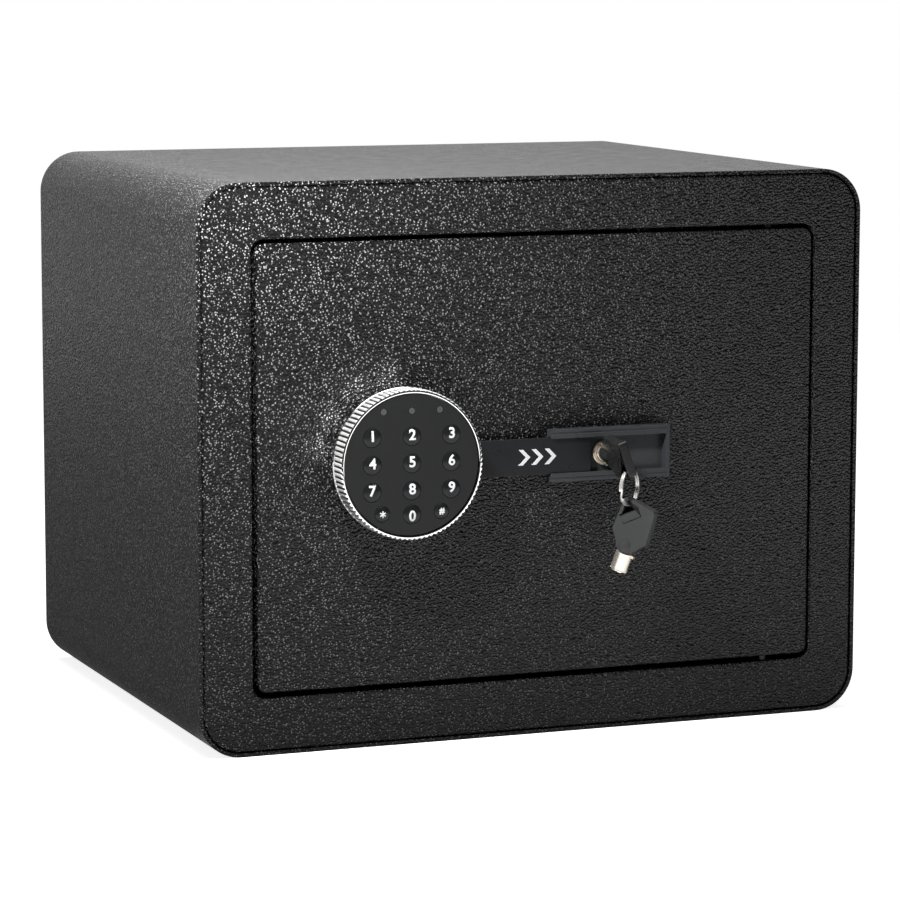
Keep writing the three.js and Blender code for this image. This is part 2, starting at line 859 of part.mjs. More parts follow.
function keypadFace() {
  const cup = atKnob(
    [
      [0, faceFront],
      [padRadius - seam, faceFront],
      [padRadius, faceFront - seam],
      [padRadius, stemFlangeFront + seam],
      [padRadius - faceRim, stemFlangeFront + seam],
      [padRadius - faceRim, faceBack],
      [0, faceBack],
    ],
    ringSides,
  );
  const front = ahead(faceFront + overrun);
  const back = ahead(faceBack - overrun / 2);
  const keyHoles = keyPlaces.map(([, x, z, radius]) =>
    drum(radius + seam, knobX + x, knobZ + z, front, back, smallSides),
  );
  const lampHoles = lampPlaces.map(([, x]) =>
    drum(lampRadius + seam, knobX + x, knobZ + lampRow, front, back, smallSides),
  );
  return cut(cup, ...keyHoles, ...lampHoles);
}

function keyCap(x, z, radius) {
  const skirtFront = faceBack - seam;
  const skirtBack = skirtFront - keySkirtHeight;
  const dome = Array.from({ length: keyDomeSteps + 1 }, (_, i) => {
    const angle = ((i / keyDomeSteps) * Math.PI) / 2;
    return [radius * Math.sin(angle), faceFront + keyRise * Math.cos(angle)];
  });
  const profile = [
    ...dome,
    [radius, skirtFront],
    [radius + keySkirt, skirtFront],
    [radius + keySkirt, skirtBack],
    [0, skirtBack],
  ].map(([r, distance]) => [r, ahead(distance)]);
  return turned(profile, knobX + x, knobZ + z, smallSides);
}

function lamp(x) {
  const base = ahead(boardFront + seam);
  return drum(lampRadius, knobX + x, knobZ + lampRow, ahead(faceFront), base, smallSides);
}

// A bridge over the bolt plate that holds the keypad's stem.
function stemBridge() {
  const front = behind(bridgeDepth);
  const back = front + bridgeThickness;
  const left = knobX - nutRadius - bridgeSide;
  const right = knobX + bridgeRight;
  const legLeft = right - bridgeLegWidth;
  const half = plateHalf + bridgeClear + bridgeThickness;
  const low = knobZ - half;
  const high = knobZ + half;
  const strap = block(left, right, front, back, low, high);
  const legs = [
    block(legLeft, right, seatY, back, low, low + bridgeThickness),
    block(legLeft, right, seatY, back, high - bridgeThickness, high),
  ];
  const footBack = seatY + bridgeThickness;
  const feet = [
    block(legLeft, right, seatY, footBack, low - bridgeFoot, low + bridgeThickness),
    block(legLeft, right, seatY, footBack, high - bridgeThickness, high + bridgeFoot),
  ];
  const hole = drum(stemRadius + seam, knobX, knobZ, front - overrun, back + overrun, smallSides);
  return cut(join(strap, ...legs, ...feet), hole);
}

function hexNut(x, z, front, height, radius, bore) {
  const body = drum(radius, x, z, front, front + height, nutSides);
  return cut(body, drum(bore, x, z, front - overrun, front + height + overrun, smallSides));
}

// Bolt work
function slot(x, z, radius, travel, front, back) {
  const outline = rounded(x - radius, x + travel + radius, z - radius, z + radius, radius);
  return slab(outline, front, back - front);
}

function boltCarriage() {
  const front = plateFrontY;
  const back = plateBackY;
  const rise = boltSpacing / 2 + boltRadius + barOverhang;
  const bar = block(plateLeft, plateLeft + barWidth, front, back, knobZ - rise, knobZ + rise);
  const hubRight = knobX + boltThrow + stemRadius + running + plateEndEdge;
  const hubPlate = block(plateLeft, hubRight, front, back, knobZ - plateHalf, knobZ + plateHalf);
  const arm = block(plateLeft, armRight, front, back, armBottom, armTop);
  const tabs = boltRows.map((z) => {
    const left = boltTail + seam;
    return block(left, left + tabThickness, front, boltY + boltRadius, z - boltRadius, z + boltRadius);
  });
  const cutFront = front - overrun;
  const cutBack = back + overrun;
  const stemSlot = slot(knobX, knobZ, stemRadius + running, boltThrow, cutFront, cutBack);
  const pinX = knobX + crankRadius * Math.cos(crankAngle);
  const pinWide = crankPinRadius + running;
  const pinLow = knobZ + crankRadius * Math.sin(crankAngle) - pinWide;
  const pinHigh = knobZ + crankRadius + pinWide;
  const pinSlot = block(pinX - pinWide, pinX + pinWide, cutFront, cutBack, pinLow, pinHigh);
  const postSlots = [-guidePostZ, guidePostZ].map((z) =>
    slot(guidePostX, knobZ + z, guidePostRadius + running, boltThrow, cutFront, cutBack),
  );
  const plate = cut(join(bar, hubPlate, arm, ...tabs), stemSlot, pinSlot, ...postSlots);
  return cut(plate, blockingNotch(lockX, notchRamp), blockingNotch(lockX + boltThrow, 0));
}

// A notch in the arm's lower edge for the plunger. A ramp on its right lets the arm push the plunger down.
function blockingNotch(x, ramp) {
  const half = plungerRadius + running;
  const top = plungerTip + plungerLift + notchExtra;
  const outline = new THREE.Shape();
  outline.moveTo(x - half, armBottom - overrun);
  outline.lineTo(x + half + ramp, armBottom - overrun);
  outline.lineTo(x + half + ramp, armBottom);
  outline.lineTo(x + half, top);
  outline.lineTo(x - half, top);
  return slab(outline, plateFrontY - overrun, plateThickness + 2 * overrun);
}

function bolt(z) {
  const shape = new THREE.LatheGeometry(
    [
      new THREE.Vector2(0, 0),
      new THREE.Vector2(boltRadius, 0),
      new THREE.Vector2(boltRadius, boltLength - boltChamfer),
      new THREE.Vector2(boltRadius - boltChamfer, boltLength),
      new THREE.Vector2(0, boltLength),
    ],
    roundSides,
  );
  return solid(shape.rotateZ(Math.PI / 2).translate(boltTail, boltY, z));
}

function boltGuide(z) {
  const left = boltTip + guideGapX;
  const right = left + guideLength;
  const body = block(left, right, seatY, boltY + guideReach, z - guideReach, z + guideReach);
  const bore = new THREE.CylinderGeometry(
    boltRadius + running,
    boltRadius + running,
    guideLength + 2 * overrun,
    roundSides,
  );
  return cut(body, solid(bore.rotateZ(Math.PI / 2).translate(left + guideLength / 2, boltY, z)));
}

// Solenoid and plunger
function plunger() {
  const y = behind(plungerDepth);
  const length = plungerTip - plungerFoot;
  const shape = new THREE.LatheGeometry(
    [
      new THREE.Vector2(0, 0),
      new THREE.Vector2(plungerRadius, 0),
      new THREE.Vector2(plungerRadius, length - plungerChamfer),
      new THREE.Vector2(plungerRadius - plungerChamfer, length),
      new THREE.Vector2(0, length),
    ],
    smallSides,
  );
  const pin = solid(shape.rotateX(Math.PI / 2).translate(lockX, y, plungerFoot));
  const collar = block(
    lockX - collarWidth / 2,
    lockX + collarWidth / 2,
    y - collarFront,
    behind(camFrontDepth + camThickness + collarOverlap),
    collarTop - collarThickness,
    collarTop,
  );
  return join(pin, collar);
}

function solenoid() {
  const y = behind(plungerDepth);
  const left = lockX - solenoidWidth / 2;
  const bottom = solenoidTop - solenoidHeight;
  const body = block(left, left + solenoidWidth, seatY, seatY + solenoidDepth, bottom, solenoidTop);
  const bore = post(plungerRadius + seam, lockX, y, solenoidTop - solenoidBore, solenoidTop + overrun);
  return cut(body, bore);
}

// Override lock
function atLock(corners, sides) {
  return turned(
    corners.map(([radius, distance]) => [radius, ahead(distance)]),
    lockX,
    middleZ,
    sides,
  );
}

function lockBody() {
  return atLock([
    [keywayRadius, lockHeadFront],
    [lockHeadRadius - lockHeadChamfer, lockHeadFront],
    [lockHeadRadius, lockHeadFront - lockHeadChamfer],
    [lockHeadRadius, lockHeadBack],
    [barrelRadius, lockHeadBack],
    [barrelRadius, -barrelEnd],
    [keywayRadius, -barrelEnd],
  ]);
}

function lockPlug() {
  const tailEnd = barrelEnd + plugTail;
  return atLock([
    [0, lockHeadFront - plugPostRecess],
    [plugPostRadius, lockHeadFront - plugPostRecess],
    [plugPostRadius, -keywayEnd],
    [plugRadius, -keywayEnd],
    [plugRadius, -tailEnd],
    [camSpindleRadius, -tailEnd],
    [camSpindleRadius, -(camFrontDepth + camThickness + camSpindleReach)],
    [0, -(camFrontDepth + camThickness + camSpindleReach)],
  ]);
}

// A spiral cam: at rest its high end holds the plunger down, and a turn back lets the plunger rise.
function lockCam() {
  const high = middleZ - collarTop - 2 * seam;
  const low = high - plungerLift;
  const dwell = THREE.MathUtils.degToRad(camDwell);
  const sweep = THREE.MathUtils.degToRad(lockTurn);
  const outline = new THREE.Shape();
  const place = (radius, angle) => [lockX + radius * Math.cos(angle), middleZ + radius * Math.sin(angle)];
  outline.moveTo(...place(low, Math.PI - dwell));
  for (let i = 0; i <= camSteps; i++) {
    const share = i / camSteps;
    outline.lineTo(...place(low + share * plungerLift, Math.PI + share * sweep));
  }
  outline.lineTo(...place(high, Math.PI + sweep + dwell));
  outline.absarc(lockX, middleZ, camHubRadius, Math.PI + sweep + dwell, turn + Math.PI - dwell);
  const front = behind(camFrontDepth);
  const body = slab(outline, front, camThickness);
  const boreEnds = [front - overrun, front + camThickness + overrun];
  return cut(body, drum(camSpindleRadius + seam, lockX, middleZ, ...boreEnds, smallSides));
}

// Key cover and rail
function coverRail() {
  const inner = coverHeight / 2 + running;
  const half = inner + railWall;
  const lipInner = coverHeight / 2 - railLipHold;
  const lipBack = coverClear + coverThickness + running;
  const lipFront = lipBack + railLip;
  const grooveMid = (half + lipInner) / 2;
  const section = new THREE.Shape();
  const sidePoints = [
    [half, seam],
    [half, lipFront],
    [grooveMid + railGrooveWidth, lipFront],
    [grooveMid + railGrooveWidth, lipFront - railGroove],
    [grooveMid, lipFront - railGroove],
    [grooveMid, lipFront],
    [lipInner, lipFront],
    [lipInner, lipBack],
    [inner, lipBack],
    [inner, seam + railBase],
  ];
  const mirrored = [...sidePoints].reverse().map(([z, distance]) => [-z, distance]);
  const loop = [...sidePoints, ...mirrored].map(([z, distance]) => new THREE.Vector2(z, distance));
  section.setFromPoints(loop);
  const shape = new THREE.ExtrudeGeometry(section, { depth: railLength, bevelEnabled: false });
  const basis = new THREE.Matrix4().makeBasis(
    new THREE.Vector3(0, 0, 1),
    new THREE.Vector3(0, -1, 0),
    new THREE.Vector3(1, 0, 0),
  );
  basis.setPosition(railLeft, frontY, middleZ);
  const rail = solid(shape.applyMatrix4(basis));
  const stopLeft = railRight - railStop;
  const stop = block(stopLeft, railRight, ahead(lipFront), ahead(seam), middleZ - half, middleZ + half);
  const leadIn = new THREE.Shape();
  const leadHalf = lipInner + railLeadWidth;
  leadIn.moveTo(railLeft - overrun, middleZ - leadHalf);
  leadIn.lineTo(railLeft + railLeadLength, middleZ - lipInner + overrun);
  leadIn.lineTo(railLeft + railLeadLength, middleZ + lipInner - overrun);
  leadIn.lineTo(railLeft - overrun, middleZ + leadHalf);
  leadIn.closePath();
  const leadDepth = lipFront + overrun - lipBack;
  const lead = slab(leadIn, ahead(lipFront + overrun), leadDepth);
  const holeEnds = [ahead(railBase + seam + overrun), frontY + overrun];
  const lockHole = drum(barrelRadius + seam, lockX, middleZ, ...holeEnds, smallSides);
  return cut(join(rail, stop), lead, lockHole);
}

function keyCover() {
  const half = coverHeight / 2;
  const outline = rounded(coverLeft, coverRight, middleZ - half, middleZ + half, coverCornerRadius);
  return slab(outline, ahead(coverClear + coverThickness), coverThickness);
}

// Batteries and control board
function batteryPlace() {
  const right = innerEdgeRight - batteryRight;
  const top = innerEdgeTop - standoffInset - standoffRadius - batteryFlange - running;
  const left = right - cellLength - 2 * (batteryWall + contactLength + seam);
  const bottom = top - cellCount * cellPitch - 2 * batteryWall;
  return { left, right, bottom, top };
}

function batteryTray() {
  const bay = batteryPlace();
  const floorBack = behind(batteryDepth) - cellRadius - seam;
  const floorFront = floorBack - batteryWall;
  const rimBack = innerPlateY - seam;
  const body = block(bay.left, bay.right, floorFront, rimBack, bay.bottom, bay.top);
  const flange = block(
    bay.left - batteryFlange,
    bay.right + batteryFlange,
    rimBack - batteryWall,
    rimBack,
    bay.bottom - batteryFlange,
    bay.top + batteryFlange,
  );
  const hollow = block(
    bay.left + batteryWall,
    bay.right - batteryWall,
    floorBack,
    rimBack + overrun,
    bay.bottom + batteryWall,
    bay.top - batteryWall,
  );
  return cut(join(body, flange), hollow);
}

function batteryCell(index) {
  const bay = batteryPlace();
  const z = bay.bottom + batteryWall + cellPitch * (index + 0.5);
  const facing = index % 2 ? 1 : -1;
  const shape = new THREE.LatheGeometry(
    [
      new THREE.Vector2(0, -cellLength / 2),
      new THREE.Vector2(cellRadius, -cellLength / 2),
      new THREE.Vector2(cellRadius, cellLength / 2),
      new THREE.Vector2(contactRadius, cellLength / 2),
      new THREE.Vector2(contactRadius, cellLength / 2 + contactLength),
      new THREE.Vector2(0, cellLength / 2 + contactLength),
    ],
    cellSides,
  );
  const turnedShape = shape.rotateZ((facing * Math.PI) / 2);
  return solid(turnedShape.translate((bay.left + bay.right) / 2, behind(batteryDepth), z));
}

function batteryCover() {
  const bay = batteryPlace();
  const gap = running;
  const outline = rounded(
    bay.left + gap,
    bay.right - gap,
    bay.bottom + gap,
    bay.top - gap,
    batteryCoverCorner,
  );
  return slab(outline, innerBackY + seam - batteryCoverWall, batteryCoverWall);
}

function controlPlace() {
  const right = innerEdgeRight - controlRight;
  const bottom = innerEdgeBottom + standoffInset + standoffRadius + controlGap;
  const front = behind(innerDepth - controlDrop);
  return {
    left: right - controlWidth,
    right,
    bottom,
    top: bottom + controlHeight,
    front,
    back: front + boardThickness,
    resetX: right - resetInset,
    resetZ: bottom + resetRise,
  };
}

function controlBoard() {
  const place = controlPlace();
  const plate = block(place.left, place.right, place.front, place.back, place.bottom, place.top);
  const half = switchSize / 2;
  const button = block(
    place.resetX - half,
    place.resetX + half,
    place.front,
    place.back + switchHeight,
    place.resetZ - half,
    place.resetZ + half,
  );
  return join(plate, button);
}

function resetButton() {
  const board = controlPlace();
  const end = innerBackY + resetStandOut;
  const start = board.back + switchHeight + resetTravel + running;
  const skirtBack = innerPlateY - seam;
  return turned(
    [
      [0, start],
      [resetRadius, start],
      [resetRadius, skirtBack - resetSkirtHeight],
      [resetRadius + resetSkirt, skirtBack - resetSkirtHeight],
      [resetRadius + resetSkirt, skirtBack],
      [resetRadius, skirtBack],
      [resetRadius, end],
      [0, end],
    ],
    board.resetX,
    board.resetZ,
    smallSides,
  );
}

// Keys. A key lies in its own X and Y: X across the bow, Y from the tube to the bow's outer edge.
function keyBow() {
  const outline = new THREE.Shape();
  outline.moveTo(bowNeckHalf, 0);
  outline.lineTo(bowNeckHalf, bowNeckHeight);
  outline.quadraticCurveTo(bowSweepHalf, bowSweepHeight, bowShoulderHalf, bowShoulderHeight);
  outline.lineTo(bowTopHalf, bowLength - bowCornerRadius);
  outline.quadraticCurveTo(bowTopHalf, bowLength, bowTopHalf - bowCornerRadius, bowLength);
  outline.lineTo(bowCornerRadius - bowTopHalf, bowLength);
  outline.quadraticCurveTo(-bowTopHalf, bowLength, -bowTopHalf, bowLength - bowCornerRadius);
  outline.lineTo(-bowShoulderHalf, bowShoulderHeight);
  outline.quadraticCurveTo(-bowSweepHalf, bowSweepHeight, -bowNeckHalf, bowNeckHeight);
  outline.lineTo(-bowNeckHalf, 0);
  const hole = new THREE.Path();
  hole.moveTo(-ringHoleSide, ringHoleTop);
  hole.lineTo(-ringHoleSide, ringHoleTop - ringHoleLeg);
  hole.lineTo(ringHoleLeg - ringHoleSide, ringHoleTop);
  hole.closePath();
  outline.holes.push(hole);
  const options = { depth: bowThickness, bevelEnabled: false, curveSegments: cornerSteps };
  const plate = solid(new THREE.ExtrudeGeometry(outline, options).translate(0, 0, -bowThickness / 2));
  const hubEnd = keyHubLength - keyHubRadius;
  const hubProfile = [
    new THREE.Vector2(0, -keyHubCollar),
    new THREE.Vector2(keyHubRadius, -keyHubCollar),
    new THREE.Vector2(keyHubRadius, hubEnd),
  ];
  for (let i = 1; i <= edgeSteps; i++) {
    const angle = ((i / edgeSteps) * Math.PI) / 2;
    const rise = keyHubRadius * Math.sin(angle);
    hubProfile.push(new THREE.Vector2(keyHubRadius * Math.cos(angle), hubEnd + rise));
  }
  hubProfile[hubProfile.length - 1].x = 0;
  const hub = solid(new THREE.LatheGeometry(hubProfile, smallSides));
  const pads = [-1, 1].map((side) => {
    const pad = new THREE.BoxGeometry(padLength, padWidth, 2 * padRecess);
    pad.rotateZ(THREE.MathUtils.degToRad(padTurn));
    return solid(pad.translate(padAcross, bowLength - padDrop, (side * bowThickness) / 2));
  });
  const depth = tubeRoot + seam;
  const socket = new THREE.CylinderGeometry(tubeBoreRadius, tubeBoreRadius, depth + overrun, smallSides);
  socket.translate(0, (depth - overrun) / 2 - keyHubCollar, 0);
  return cut(join(plate, hub), ...pads, solid(socket));
}

function keyTube() {
  const root = tubeBoreRadius - seam;
  const start = -keyHubCollar - seam;
  const wallEnd = start - tubeLength;
  const profile = [
    new THREE.Vector2(tubeBoreRadius, wallEnd),
    new THREE.Vector2(tubeRadius + tubeRim, wallEnd),
    new THREE.Vector2(tubeRadius + tubeRim, wallEnd + tubeRimLength),
    new THREE.Vector2(tubeRadius, wallEnd + tubeRimLength + tubeRim),
    new THREE.Vector2(tubeRadius, start),
    new THREE.Vector2(root, start),
    new THREE.Vector2(root, start + tubeRoot),
    new THREE.Vector2(0, start + tubeRoot),
    new THREE.Vector2(0, start - tubeNotch),
    new THREE.Vector2(tubeBoreRadius, start - tubeNotch),
    new THREE.Vector2(tubeBoreRadius, wallEnd),
  ];
  const body = solid(new THREE.LatheGeometry(profile, smallSides));
  const bits = Array.from({ length: tubeNotches }, (_, i) => {
    const bit = new THREE.BoxGeometry(tubeNotch, 2 * tubeNotch, 2 * tubeNotch);
    bit.translate(tubeRadius, wallEnd, 0).rotateY(((i + 0.5) / tubeNotches) * turn);
    return solid(bit);
  });
  const lug = new THREE.BoxGeometry(2 * tubeLugReach, tubeLugLength, tubeLugLength);
  lug.translate(tubeRadius, start - tubeLugLength / 2, 0);
  return cut(join(body, solid(lug)), ...bits);
}

// The key that stands in the lock: its bow lies in the lock's line and leans a little.
function keyInLock() {
  const holder = group(piece("key_bow", keyBow(), bowPlastic), piece("key_tube", keyTube(), nickel));
  const tilt = THREE.MathUtils.degToRad(keyTilt);
  const across = new THREE.Vector3(-Math.sin(tilt), 0, Math.cos(tilt));
  const outward = new THREE.Vector3(0, -1, 0);
  const through = new THREE.Vector3().crossVectors(across, outward);
  holder.matrix.makeBasis(across, outward, through);
  holder.matrix.setPosition(lockX, ahead(keyOrigin), middleZ);
  holder.matrixAutoUpdate = false;
  return holder;
}

// The split ring hangs from the first key's hole, and the spare key from the ring's lowest point.
const loopTop = new THREE.Vector3(
  loopHoleSide - ringHoleSide,
  ringHoleTop - loopHoleDrop,
  loopHoleOffset,
);

function splitRing(hangPoint) {
  const loop = new THREE.TorusGeometry(loopRadius, loopWireRadius, loopSides, loopSteps);
  loop.scale(1, 1, loopWireShare);
  loop.rotateX(Math.PI / 2).rotateZ(THREE.MathUtils.degToRad(loopTurn));
  loop.translate(hangPoint.x, hangPoint.y, hangPoint.z - loopRadius);
  return piece("split_ring", solid(loop), chrome);
}

function spareKey(hangPoint) {
  const bow = piece("spare_key_bow", keyBow(), bowPlastic);
  const tube = piece("spare_key_tube", keyTube(), nickel);
  const facing = THREE.MathUtils.degToRad(spareTurn);
  const lean = THREE.MathUtils.degToRad(spareLean);
  const side = new THREE.Vector3(Math.sin(facing), -Math.cos(facing), 0);
  const up = new THREE.Vector3(0, 0, 1);
  const across = side.clone().multiplyScalar(Math.cos(lean)).addScaledVector(up, -Math.sin(lean));
  const along = side.clone().multiplyScalar(Math.sin(lean)).addScaledVector(up, Math.cos(lean));
  const through = new THREE.Vector3().crossVectors(across, along);
  const holder = group(bow, tube);
  const origin = hangPoint
    .clone()
    .addScaledVector(up, -2 * loopRadius)
    .addScaledVector(across, ringHoleSide - spareHoleInset)
    .addScaledVector(along, spareHoleInset - ringHoleTop);
  holder.matrix.makeBasis(across, along, through);
  holder.matrix.setPosition(origin);
  holder.matrixAutoUpdate = false;
  return holder;
}

// The whole, in the groups that move together
const caseGroup = group(
  piece("body_wrap", bodyWrap(), paint),
  piece("rear_panel", rearPanel(), paint),
  piece("front_frame", frontFrame(), paint),
  piece("pivot_bracket_upper", pivotBracket(1), steel),
  piece("pivot_bracket_lower", pivotBracket(-1), steel),
  piece("floor_mat", floorMat(), felt),
);

const doorGroup = group(
  piece("door_panel", doorPanel(), paint),
  piece("hinge_pin_upper", hingePin(1), steel),
  piece("hinge_pin_lower", hingePin(-1), steel),
  piece("inner_cover", innerCover(), paint),
  piece("keypad_rosette", rosette(), darkPlastic),
  piece("keypad_stem", keypadStem(), darkPlastic),
  piece("keypad_face", keypadFace(), darkPlastic),
  piece("circuit_board", circuitBoard(), boardGreen),
  ...lampPlaces.map(([name, x]) => piece(name, lamp(x), lampPlastic)),
  piece("stem_bridge", stemBridge(), zinc),
  piece(
    "stem_nut",
    hexNut(knobX, knobZ, behind(stemNutDepth), nutHeight, nutRadius, stemRadius + seam),
    steel,
  ),
  piece("bolt_guide_lower", boltGuide(boltRows[0]), zinc),
  piece("bolt_guide_upper", boltGuide(boltRows[1]), zinc),
  piece("solenoid", solenoid(), steel),
  piece("cover_rail", coverRail(), darkPlastic),
  piece("lock_body", lockBody(), brass),
  piece(
    "lock_nut",
    hexNut(lockX, middleZ, seatY, lockNutHeight, lockNutRadius, barrelRadius + seam),
    steel,
  ),
  piece("control_board", controlBoard(), boardGreen),
  piece("battery_tray", batteryTray(), darkPlastic),
  ...Array.from({ length: cellCount }, (_, i) =>
    piece(`battery_cell_${i + 1}`, batteryCell(i), cellSkin),
  ),
);

const knobGroup = group(
  piece("knurled_ring", knurledRing(), chrome),
  piece("drive_hub", driveHub(), zinc),
  piece("crank", crank(), steel),
);

const boltGroup = group(
  piece("bolt_carriage", boltCarriage(), zinc),
  piece("bolt_lower", bolt(boltRows[0]), steel),
  piece("bolt_upper", bolt(boltRows[1]), steel),
);

const keypadGroup = group(
  ...keyPlaces.map(([name, x, z, radius]) => piece(name, keyCap(x, z, radius), keyPlastic)),
);

const lockGroup = group(piece("lock_plug", lockPlug(), nickel), piece("lock_cam", lockCam(), steel));

const looseGroup = group(
  piece("plunger", plunger(), steel),
  piece("key_cover", keyCover(), darkPlastic),
  piece("battery_cover", batteryCover(), darkPlastic),
  piece("reset_button", resetButton(), redPlastic),
);

const mainKey = keyInLock();
const hangPoint = loopTop.clone().applyMatrix4(mainKey.matrix);

const safe = group(
  caseGroup,
  doorGroup,
  knobGroup,
  boltGroup,
  keypadGroup,
  lockGroup,
  looseGroup,
  mainKey,
  splitRing(hangPoint),
  spareKey(hangPoint),
);

export default safe;
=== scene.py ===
"""Looks for a cabinet safe: paint, chrome, plastics, printed figures and fine pieces.

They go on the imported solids. Metres and degrees. X runs to the right, Y to the back, Z up.
"""

import json
import math

import bmesh
import bpy
from mathutils import Matrix, Vector


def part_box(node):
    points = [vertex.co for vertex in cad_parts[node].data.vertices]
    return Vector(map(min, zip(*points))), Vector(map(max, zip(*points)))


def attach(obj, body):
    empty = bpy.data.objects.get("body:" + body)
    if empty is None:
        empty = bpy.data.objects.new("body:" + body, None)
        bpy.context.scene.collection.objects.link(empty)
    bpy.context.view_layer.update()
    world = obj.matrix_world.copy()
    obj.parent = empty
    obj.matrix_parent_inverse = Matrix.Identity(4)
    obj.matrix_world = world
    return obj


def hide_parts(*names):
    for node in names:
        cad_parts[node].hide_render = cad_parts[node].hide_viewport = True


TURN = 2 * math.pi
OUTWARD = Vector((0, -1, 0))

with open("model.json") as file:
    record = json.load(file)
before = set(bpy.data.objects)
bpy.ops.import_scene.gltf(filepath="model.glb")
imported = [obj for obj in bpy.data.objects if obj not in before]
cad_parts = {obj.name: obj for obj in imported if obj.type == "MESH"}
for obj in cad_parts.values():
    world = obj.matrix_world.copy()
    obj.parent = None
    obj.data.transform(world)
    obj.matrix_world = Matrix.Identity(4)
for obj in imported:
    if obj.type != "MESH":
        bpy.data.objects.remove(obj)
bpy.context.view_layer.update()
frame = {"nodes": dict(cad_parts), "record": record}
nodes = frame["nodes"]


def middle(node):
    low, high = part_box(node)
    return (low + high) / 2


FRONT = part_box("front_frame")[0].y
FACE_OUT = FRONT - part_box("keypad_face")[0].y
KNOB = middle("knurled_ring")
LOCK = middle("lock_body")
SLOTS = {row["node"]: row["material_slot"] for row in frame["record"]["subparts"]}
BODY_OF = {
    node: body
    for body, members in frame["record"]["behaviour"]["bodies"].items()
    for node in members
}

# Meshes: distances that count as none, the angles that divide flat from sharp, and the
# shortest edge that is rounded, as a multiple of its rounding
MERGE = 2e-6
TINY = 1e-9
FLAT_ANGLE = 0.5
SHARP_ANGLE = 30.0
EDGE_STEPS = 2
SHORTEST_EDGE = 2.5

# Each dressed node's edge rounding, and the angle over which its shading is sharp
FINER = {
    "body_wrap": (0.0, 50),
    "rear_panel": (0.0003, 40),
    "front_frame": (0.0006, 50),
    "floor_mat": (0.0006, 40),
    "door_panel": (0.0, 50),
    "hinge_pin_upper": (0.0003, 40),
    "hinge_pin_lower": (0.0003, 40),
    "inner_cover": (0.0004, 40),
    "keypad_rosette": (0.0, 40),
    "keypad_face": (0.0, 40),
    "cover_rail": (0.00018, 40),
    "lock_body": (0.0, 40),
    "lock_plug": (0.0002, 40),
    "bolt_lower": (0.0, 40),
    "bolt_upper": (0.0, 40),
    "bolt_guide_lower": (0.0004, 40),
    "bolt_guide_upper": (0.0004, 40),
    "battery_tray": (0.0003, 40),
    "battery_cover": (0.0003, 40),
    "reset_button": (0.0003, 40),
    "key_bow": (0.0006, 45),
    "key_tube": (0.00012, 40),
    "spare_key_bow": (0.0006, 45),
    "spare_key_tube": (0.00012, 40),
    "lamp_left": (0.0, 40),
    "lamp_middle": (0.0, 40),
    "lamp_right": (0.0, 40),
}

# Paint: pebbles per metre, the bump's depth, and the pale specks on the pebbles' crests, which
# are painted glints, densest near the upper left
PEBBLES = 740.0
PEBBLE_POWER = 2.0
PAINT_DEPTH = 0.0007
PAINT_GLOSS = 0.3
PAINT_ROUGHNESS = (0.2, 0.27)
PAINT_LEVELS = (0.003, 0.0045)
WOBBLE_RATE = 300.0
WOBBLE_REACH = 0.0012
SWELL_RATE = PEBBLES * 0.5
SWELL_SHARE = 0.5
GLINT_INNER = 0.18
GLINT_OUTER = 0.37
PAINTED_GLINT_LEVEL = 0.3
GLINT_MIDDLE = (-0.19, 0, 0.3)
GLINT_NEAR = 0.08
GLINT_REACH = 0.32
GLINT_LEAST = 0.24
PATCH_RATE = PEBBLES * 0.7
PATCH_RANGE = (0.34, 0.56)

# Other materials
NOISE_RANGE = (0.3, 0.7)
PLASTIC_GLOSS = 0.25
PLASTIC_GRAIN = 0.00002
SCRATCH_DEPTH = 0.00001
FROST_DEPTH = 0.000002
BOARD_GREENS = ((0.012, 0.075, 0.035, 1), (0.018, 0.1, 0.05, 1))
CELL_BLUES = ((0.05, 0.09, 0.13, 1), (0.07, 0.12, 0.17, 1))

# Knob ring: teeth, their shares of one tooth's width, and rings as (radius, distance out)
KNURLS = 90
KNURL_STEPS = 8
KNURL_GAP_SHARE = 0.2
KNURL_TIP = 0.3
KNURL_ROOT = 0.12
ROOT_RADIUS = 0.0385
TIP_RADIUS = 0.0395
RING_BACK = (
    (0.0325, 0.0131),
    (0.0325, 0.0111),
    (0.0326, 0.011),
    (0.0389, 0.011),
    (0.0392, 0.01108),
    (0.0394, 0.0113),
    (0.0394, 0.0128),
    (0.0392, 0.01305),
)
# The toothed rings, as (share of the teeth's depth, distance out)
RING_TEETH = (
    (0.0, 0.0132),
    (0.75, 0.01345),
    (1.0, 0.0139),
    (1.0, 0.0243),
    (0.8, 0.0247),
    (0.5, 0.0249),
)
RING_FRONT = (
    (0.0384, 0.02495),
    (0.0382, 0.025),
    (0.0379, 0.025),
    (0.0376, 0.02485),
    (0.0375, 0.0246),
    (0.0375, 0.0131),
)

# Keypad: domes, and each button's sign, sign height, shift up from the middle and radius
KEY_RISE = 0.00098
KEY_CROWN = 2.5
KEY_SKIRT = 0.0009
KEY_RADIUS = 0.00486
SIGN_KEY_RADIUS = 0.00401
DOME_STEPS = 10
DOME_SIDES = 48
DOME_RIM = 0.985
DOME_RIM_HEIGHT_AT = 0.97
DIGIT_HEIGHT = 0.0057
SIGN_HEIGHT = 0.0036
DIGIT_RISE = 0.001
ZERO_RISE = -0.0007
KEY_SIGNS = [
    (f"key_{i}", str(i), DIGIT_HEIGHT, DIGIT_RISE, KEY_RADIUS) for i in range(1, 10)
]
KEY_SIGNS += [
    ("key_0", "0", DIGIT_HEIGHT, ZERO_RISE, KEY_RADIUS),
    ("key_star", "*", SIGN_HEIGHT, 0.0, SIGN_KEY_RADIUS),
    ("key_hash", "#", SIGN_HEIGHT, 0.0, SIGN_KEY_RADIUS),
]

